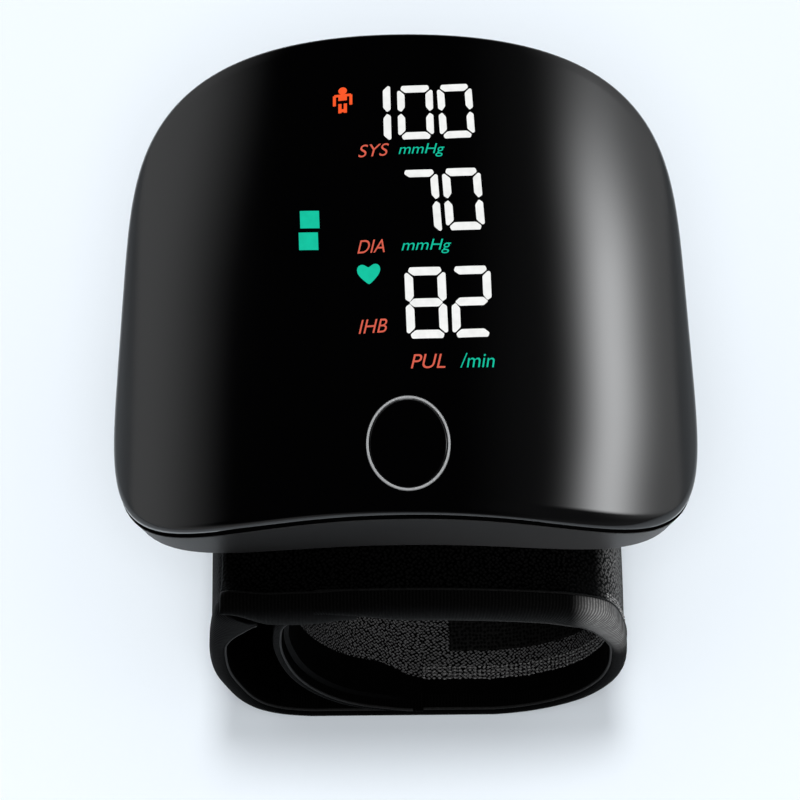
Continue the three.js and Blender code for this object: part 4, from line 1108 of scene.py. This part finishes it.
def shut_end(bm, loop):
    """Closes a swept end: one that has run out thin is folded shut, any other gets a face."""
    thin = 0.06 * MM
    middle = len(loop) // 4
    if (loop[middle].co - loop[len(loop) - 2 - middle].co).length < thin:
        bmesh.ops.remove_doubles(bm, verts=loop, dist=thin)
    else:
        close_loop(bm, loop)


def sweep(c, samples, section):
    """Sweeps a closed section, which may change, along samples, and maps the skin in millimetres."""
    bm = bmesh.new()
    loops = grow_rings(bm, [[p + flare(p) for p in section(s)] for s in samples])
    stations = {vert: s.along for s, loop in zip(samples, loops) for vert in loop}
    shut_end(bm, loops[0])
    shut_end(bm, loops[-1])
    layer = bm.loops.layers.uv.new("cloth")
    for face in bm.faces:
        for corner in face.loops:
            corner[layer].uv = (stations[corner.vert] / MM, corner.vert.co.y / MM)
    return bm


class MONITOR_OT_cuff_loop(bpy.types.Operator):
    """Outer cloth, padded lining, edge tapes and stitches of the coiled loop"""
    bl_idname = "monitor.cuff_loop"
    bl_label = "Cuff loop"

    def execute(self, context):
        c = context.scene.monitor_cuff
        strip = Strip(context.scene.monitor_housing, c)
        y0, y1 = strip.behind - c.tape_lap, strip.before + c.tape_lap
        body = strip.span(0, strip.split, 3)

        def cloth_under(s):
            return min(c.cloth, strip.depth(s) * 0.5)

        def lining_outer(s):
            return max(strip.depth(s) - c.lining, strip.depth(s) * 0.45)

        strip.piece("cuff_loop_cloth", body, strip.band(0.0, cloth_under, y0, y1, 60, c.cloth_wave),
                    "cuff_fabric", "root", ["cuff_outer_fabric", "cuff_stiffener"], 60)
        lining = strip.piece("cuff_loop_lining", body,
                             strip.band(lining_outer, strip.depth, y0, y1, 60, c.lining_wave),
                             "cuff_mesh", "root", ["cuff_inner_lining", "cuff_bladder"], 60)
        self.overlays(strip, y0, y1)

        def sewn_edge(s):
            """The inner end's front edge is sewn flat, the rest keeps the strip's thickness."""
            return strip.depth(s) * (0.35 + 0.65 * ease(s.along / strip.root, 0.3, 0.08))

        tapes = strip.span(0, strip.split)
        sides = (("front", sewn_edge, c.front, -1), ("rear", strip.depth, c.rear, 1))
        for side, under, nose, towards in sides:
            strip.piece("cuff_tape_" + side, tapes, strip.tape(0.0, under, nose, towards), "edge_tape", "root",
                        ["cuff_" + side + "_binding"], 60)
        high = [s for s in strip.span(strip.root * 0.25, strip.split, 2) if s.at.y > c.loop_height * 0.5]
        strip.piece("cuff_seam_fold", high, strip.seam(0.0, c.front), "seam_fold")
        piped = strip.span(c.piping_start, strip.split, 2)
        # The piping's lighter grey is painted highlight along the front edge.
        strip.piece("cuff_piping", piped, strip.piping(sewn_edge), "piping")
        self.shoulder(strip)
        self.stitches(strip)
        return {"FINISHED"}

    def overlays(self, strip, y0, y1):
        """Thin smooth strips and panels that lie on the lining."""
        c = strip.c
        flap = strip.root * c.flap_share
        lap, margin = 1 * MM, 0.5 * MM
        sunk, proud = 0.1 * MM, 0.14 * MM
        widening = 8 * MM
        panel_left, panel_top = 5.5 * MM, 15 * MM
        panel_front, panel_rear = c.front + 9.5 * MM, c.rear - 22 * MM
        flap_part = strip.span(0, flap, 3)
        loop_part = strip.span(flap - lap, strip.split, 3)
        panel = [s for s in strip.span(strip.root / 2, strip.root, 3)
                 if s.at.x > panel_left and s.at.y < panel_top]
        hidden = [s for s in strip.span(strip.root / 2, strip.split + margin, 3) if s.at.x < c.mesh_left]

        def surface(s):
            return strip.depth(s) - sunk

        def above(s):
            return strip.depth(s) + proud

        def core(s):
            return strip.depth(s) * 0.32

        def flap_hem_end(s):
            return strip.behind + c.hem + (c.flap_hem - c.hem) * ease(s.along, 0, widening)

        for name, finish, part, under, start, end in (
                ("cuff_flap_hem_front", "smooth_cloth", flap_part, core, y0 - margin, flap_hem_end),
                ("cuff_hem_front", "smooth_cloth", loop_part, surface, y0, strip.behind + c.hem),
                ("cuff_flap_hem_rear", "smooth_cloth", flap_part, surface, strip.before - c.flap_hem, y1),
                ("cuff_hem_rear", "smooth_cloth", loop_part, surface, strip.before - c.hem, y1),
                ("cuff_lining_panel", "panel_cloth", panel, surface, panel_front, panel_rear),
                ("cuff_lining_end", "smooth_cloth", hidden, surface, y0 + margin, y1 - margin)):
            strip.piece(name, part, strip.band(under, above, start, end, 8, c.overlay_wave), finish)

    def shoulder(self, strip):
        """Fold that fills the corner by the inner end and reaches out over the tail's tip."""
        c = strip.c
        right = c.loop_centre + c.loop_half_width * TOP_SPAN[1]
        steps = 90
        gap, past_plate = 0.3 * MM, 6 * MM
        fall_span, rise_span = 5.3 * MM, 9 * MM
        stand_out, run_in, run_span = 0.2 * MM, 5 * MM, 4 * MM
        samples = []
        for k in range(steps + 1):
            x = c.shoulder_left + (right - c.shoulder_left) * k / steps
            saddle = saddle_height(strip.h, x) - gap
            past = ease(-x, c.plate_half, past_plate)
            top = strip.top_height(x) + (saddle - strip.top_height(x)) * past
            samples.append(Sample(x - c.shoulder_left, Vector((x, top)), Vector((0, -1))))

        def thickness(s):
            fall = ease(s.at.x, c.shoulder_inner, fall_span)
            rise = ease(s.at.x, c.shoulder_rise, rise_span)
            return (s.at.y - c.shoulder_foot + c.fillet * fall) * (1 - rise) + c.shoulder_wall * rise

        def forward(s):
            return c.front - stand_out * (1 - ease(s.at.x, right - run_in, run_span))

        lap = c.tape_lap / 2
        outer, inner = rounded_end(thickness, lambda s: s.along, c.shoulder_end)
        cloth = strip.band(outer, inner, strip.behind - lap, strip.before + lap, 30, c.overlay_wave)
        for name, section, finish, sharp in (
                ("cuff_shoulder", cloth, "cuff_fabric", 60),
                ("cuff_shoulder_tape_front", strip.tape(outer, inner, forward, -1), "edge_tape", 60),
                ("cuff_shoulder_tape_rear", strip.tape(outer, inner, c.rear, 1), "edge_tape", 60),
                ("cuff_shoulder_seam", strip.seam(outer, forward), "seam_fold", 40)):
            strip.piece(name, samples, section, finish, sharp=sharp)

    def stitches(self, strip):
        """Sewing lines beside the front tape and on its upper right corner."""
        c = strip.c
        corner_left, corner_low = 26.5 * MM, c.loop_height * 0.55
        proud, sunk, wander = 0.1 * MM, 0.02 * MM, 0.14 * MM
        lining = [s for s in strip.span(strip.root * 0.55, strip.split, 3) if s.at.x > c.mesh_left]
        corner = [s for s in strip.span(strip.root * 0.3, strip.root, 3)
                  if s.at.x > corner_left and s.at.y > corner_low]
        rows = [(c.hem + offset * MM, lining, strip.depth, proud) for offset in (0.2, 0.75, 1.3, 1.85)]
        rows += [(offset * MM, corner, 0.0, -sunk) for offset in (0.45, 0.95, 1.45)]
        bm = bmesh.new()
        slim = Matrix.Diagonal((c.stitch / c.stitch_radius / 2, 1, 0.8, 1))
        for offset, chosen, depth, out in rows:
            y = strip.behind + offset
            for s in chosen:
                p = strip.inward(s, value_at(depth, s) + out, y + ripple(s.along * 9, y * 40, wander))
                direction = Vector((-s.normal.y, 0.3 * math.sin(s.along / MM * 5), s.normal.x))
                turn = direction.to_track_quat("X", "Z").to_matrix().to_4x4()
                bmesh.ops.create_icosphere(bm, subdivisions=1, radius=c.stitch_radius,
                                           matrix=Matrix.Translation(p + flare(p)) @ turn @ slim)
        finish_piece("cuff_stitches", bm, "thread", "root", recalculate=False)


class MONITOR_OT_cuff_tail(bpy.types.Operator):
    """Strip's outer end with its hook patch and edge tapes"""
    bl_idname = "monitor.cuff_tail"
    bl_label = "Cuff tail"

    def execute(self, context):
        c = context.scene.monitor_cuff
        strip = Strip(context.scene.monitor_housing, c)
        overlap, cloth_proud, short = 0.3 * MM, 0.04 * MM, 1.2 * MM
        samples = strip.span(strip.split - overlap, strip.samples[-1].along)
        last = samples[-1].along
        outer, inner = rounded_end(strip.depth, lambda s: last - s.along, c.tip_radius)

        def cloth_inner(s):
            return inner(s) + cloth_proud

        y0, y1 = strip.behind - c.tape_lap, strip.before + c.tape_lap
        cloth = strip.band(outer, cloth_inner, y0, y1, 60, c.cloth_wave)
        edge = [s for s in samples[::2] if s.along < last - short]
        for name, part, section, finish, replaced in (
                ("cuff_tail_cloth", samples[::-2][::-1], cloth, "cuff_fabric", ["cuff_tail"]),
                ("cuff_tail_tape_front", samples, strip.tape(outer, inner, c.front, -1), "edge_tape",
                 ["cuff_tail_front_binding"]),
                ("cuff_tail_tape_rear", samples, strip.tape(outer, inner, c.rear, 1), "edge_tape",
                 ["cuff_tail_rear_binding"]),
                # This piping's lighter grey is painted highlight along the tail's front edge.
                ("cuff_tail_piping", edge, strip.piping(strip.depth), "piping", ())):
            piece = strip.piece(name, part, section, finish, None, replaced, 60)
            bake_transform(piece)

        low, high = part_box("cuff_tail_hook")
        sunk, proud, margin, tip = 0.25 * MM, 0.55 * MM, 0.5 * MM, 3 * MM
        patch = [s for s in strip.span(strip.root, last)
                 if low[2] < s.at.y < high[2] + margin and s.along < last - tip][::3]
        hooks = strip.band(lambda s: strip.depth(s) - sunk, lambda s: strip.depth(s) + proud,
                           low[1], high[1], 40)
        strip.piece("cuff_hook_patch", patch, hooks, "hook_tape", "cuff_flap", ["cuff_tail_hook"], 60)
        return {"FINISHED"}


class MONITOR_OT_stage(bpy.types.Operator):
    """Table top, world, lamps and the camera"""
    bl_idname = "monitor.stage"
    bl_label = "Stage"

    def execute(self, context):
        stage = context.scene.monitor_stage
        self.table(stage)
        self.world(context, stage)
        self.lamps()
        self.camera(context, stage)
        context.scene.view_settings.view_transform = "Standard"
        return {"FINISHED"}

    def table(self, stage):
        bm = bmesh.new()
        bmesh.ops.create_grid(bm, x_segments=1, y_segments=1, size=stage.table_half)
        bmesh.ops.translate(bm, verts=bm.verts, vec=(0, 0, -stage.table_drop))
        table = link_mesh("table_top", bm)
        new_finish("table_pale", tuple(stage.floor), 0.9, specular=0.0)
        table.data.materials.append(finishes["table_pale"])

    def world(self, context, stage):
        """Even light for cloth and floor, and a band and a tall glow that the gloss cover mirrors."""
        world = bpy.data.worlds.new("studio")
        context.scene.world = world
        tree = Tree(world)
        maths, ramp = tree.maths, tree.ramp
        parts = tree.add("SeparateXYZ", {"Vector": tree.place("Generated")}).outputs
        across, along, up = (parts[axis] for axis in "XYZ")

        left = ramp(across, -0.6, 0.1, 0.8, 0.12)
        sunk = maths("SUBTRACT", up, ramp(along, 0.42, 0.51, 0.0, 0.15))
        horizon = maths("MULTIPLY", ramp(sunk, 0.05, 0.48, 0.82, 0.0), ramp(along, -0.1, 0.34, left, 1.0))
        centre = maths("ADD", ramp(along, 0.36, 0.39, 0.35, 0.285), ramp(along, 0.44, 0.48, 0.0, 0.06))
        offset = maths("DIVIDE", maths("SUBTRACT", up, centre), 0.13)
        bell = maths("EXPONENT", maths("MULTIPLY", maths("MULTIPLY", offset, offset), -1.0))
        strength = maths("MULTIPLY", ramp(across, 0.35, 0.75, 0.0, 8.6), ramp(along, 0.43, 0.5, 1.0, 0.04))
        strength = maths("MULTIPLY", strength, ramp(along, 0.2, 0.35, 0.0, 1.0))
        haze = ramp(across, 0.25, 0.7, 0.0, 0.08)
        level = maths("ADD", maths("ADD", horizon, haze), maths("MULTIPLY", bell, strength))

        def background(tone, strength):
            node = tree.add("Background", {"Color": (*tone, 1), "Strength": strength})
            return node.outputs["Background"]

        def mix(amount, first, second):
            return tree.add("MixShader", {0: amount, 1: first, 2: second}).outputs["Shader"]

        rays = tree.add("LightPath").outputs
        straight = maths("MAXIMUM", rays["Is Camera Ray"], rays["Is Transmission Ray"])
        mirrored = background((0.97, 0.985, 1.0), level)
        lit = mix(rays["Is Glossy Ray"], background(grey(1.0), 0.43), mirrored)
        surface = mix(straight, lit, background(stage.backdrop, 1.0))
        tree.wire(tree.nodes["World Output"], {"Surface": surface})
        tree.nodes.remove(tree.nodes["Background"])

    def lamps(self):
        """Two soft lamps, one casting only the cuff's shadow, and a narrow one on the cuff's right end."""
        lamps = {}
        spot = {"spot_size": math.radians(2.3), "spot_blend": 0.5, "shadow_soft_size": 0.02}
        for name, kind, watts, settings, place, aim in (
                ("front_lamp", "AREA", 4.4, {"shape": "DISK", "size": 0.5}, (0.0, -0.45, 0.95), (0, 0, 0.03)),
                ("top_lamp", "AREA", 4.3, {"shape": "DISK", "size": 0.22}, (0.0, 0.1, 1.0), (0, 0, 0.03)),
                ("cuff_lamp", "SPOT", 90.0, spot, (0.531, -0.654, 0.461), (0.028, -0.040, 0.041))):
            light = bpy.data.lights.new(name, kind)
            light.energy = watts
            for key, value in settings.items():
                setattr(light, key, value)
            lamp = bpy.data.objects.new(name, light)
            bpy.context.scene.collection.objects.link(lamp)
            lamp.location = place
            lamp.rotation_euler = (Vector(aim) - Vector(place)).to_track_quat("-Z", "Y").to_euler()
            lamp.visible_glossy = False
            lamps[name] = lamp
        casters = bpy.data.collections.new("cuff_shadow")
        for piece in bpy.data.objects:
            if piece.type == "MESH" and piece.name.startswith("cuff_") and piece.name not in frame["nodes"]:
                casters.objects.link(piece)
        lamps["top_lamp"].light_linking.blocker_collection = casters

    def camera(self, context, stage):
        data = bpy.data.cameras.new("camera")
        data.lens = stage.lens
        data.sensor_width = stage.sensor
        data.clip_start = 0.01
        data.clip_end = 20
        camera = bpy.data.objects.new("camera", data)
        context.scene.collection.objects.link(camera)
        context.scene.camera = camera
        back = Vector((0, -math.sin(stage.tilt), math.cos(stage.tilt)))
        place = Vector((0, 0, stage.arch_base)) + back * stage.distance
        focal = stage.lens / stage.sensor * stage.picture
        right = Vector((1, 0, 0))
        up = Vector((0, math.cos(stage.tilt), math.sin(stage.tilt)))
        aim = -back * focal + right * stage.aim_right + up * stage.aim_up
        look = aim.to_track_quat("-Z", "Y").to_matrix()
        roll = Matrix.Rotation(-stage.roll, 3, "Z")
        camera.matrix_world = Matrix.Translation(place) @ (look @ roll).to_4x4()


class MONITOR_PT_pieces(bpy.types.Panel):
    """Lists the operators that build the monitor"""
    bl_label = "Monitor"
    bl_idname = "MONITOR_PT_pieces"
    bl_space_type = "VIEW_3D"
    bl_region_type = "UI"
    bl_category = "Monitor"

    def draw(self, context):
        for operator in OPERATORS:
            self.layout.operator(operator.bl_idname)


OPERATORS = (
    MONITOR_OT_finishes,
    MONITOR_OT_front_cover,
    MONITOR_OT_start_button,
    MONITOR_OT_rear_shell,
    MONITOR_OT_display_marks,
    MONITOR_OT_cuff_loop,
    MONITOR_OT_cuff_tail,
    MONITOR_OT_stage,
)


def register():
    for group in GROUPS.values():
        bpy.utils.register_class(group)
    for operator in OPERATORS:
        bpy.utils.register_class(operator)
    bpy.utils.register_class(MONITOR_PT_pieces)
    for name, group in GROUPS.items():
        setattr(bpy.types.Scene, name, PointerProperty(type=group))


def unregister():
    for name in GROUPS:
        delattr(bpy.types.Scene, name)
    bpy.utils.unregister_class(MONITOR_PT_pieces)
    for operator in reversed(OPERATORS):
        bpy.utils.unregister_class(operator)
    for group in GROUPS.values():
        bpy.utils.unregister_class(group)


def main():
    register()
    for operator in OPERATORS:
        family, name = operator.bl_idname.split(".")
        getattr(getattr(bpy.ops, family), name)()


if __name__ == "__main__":
    main()
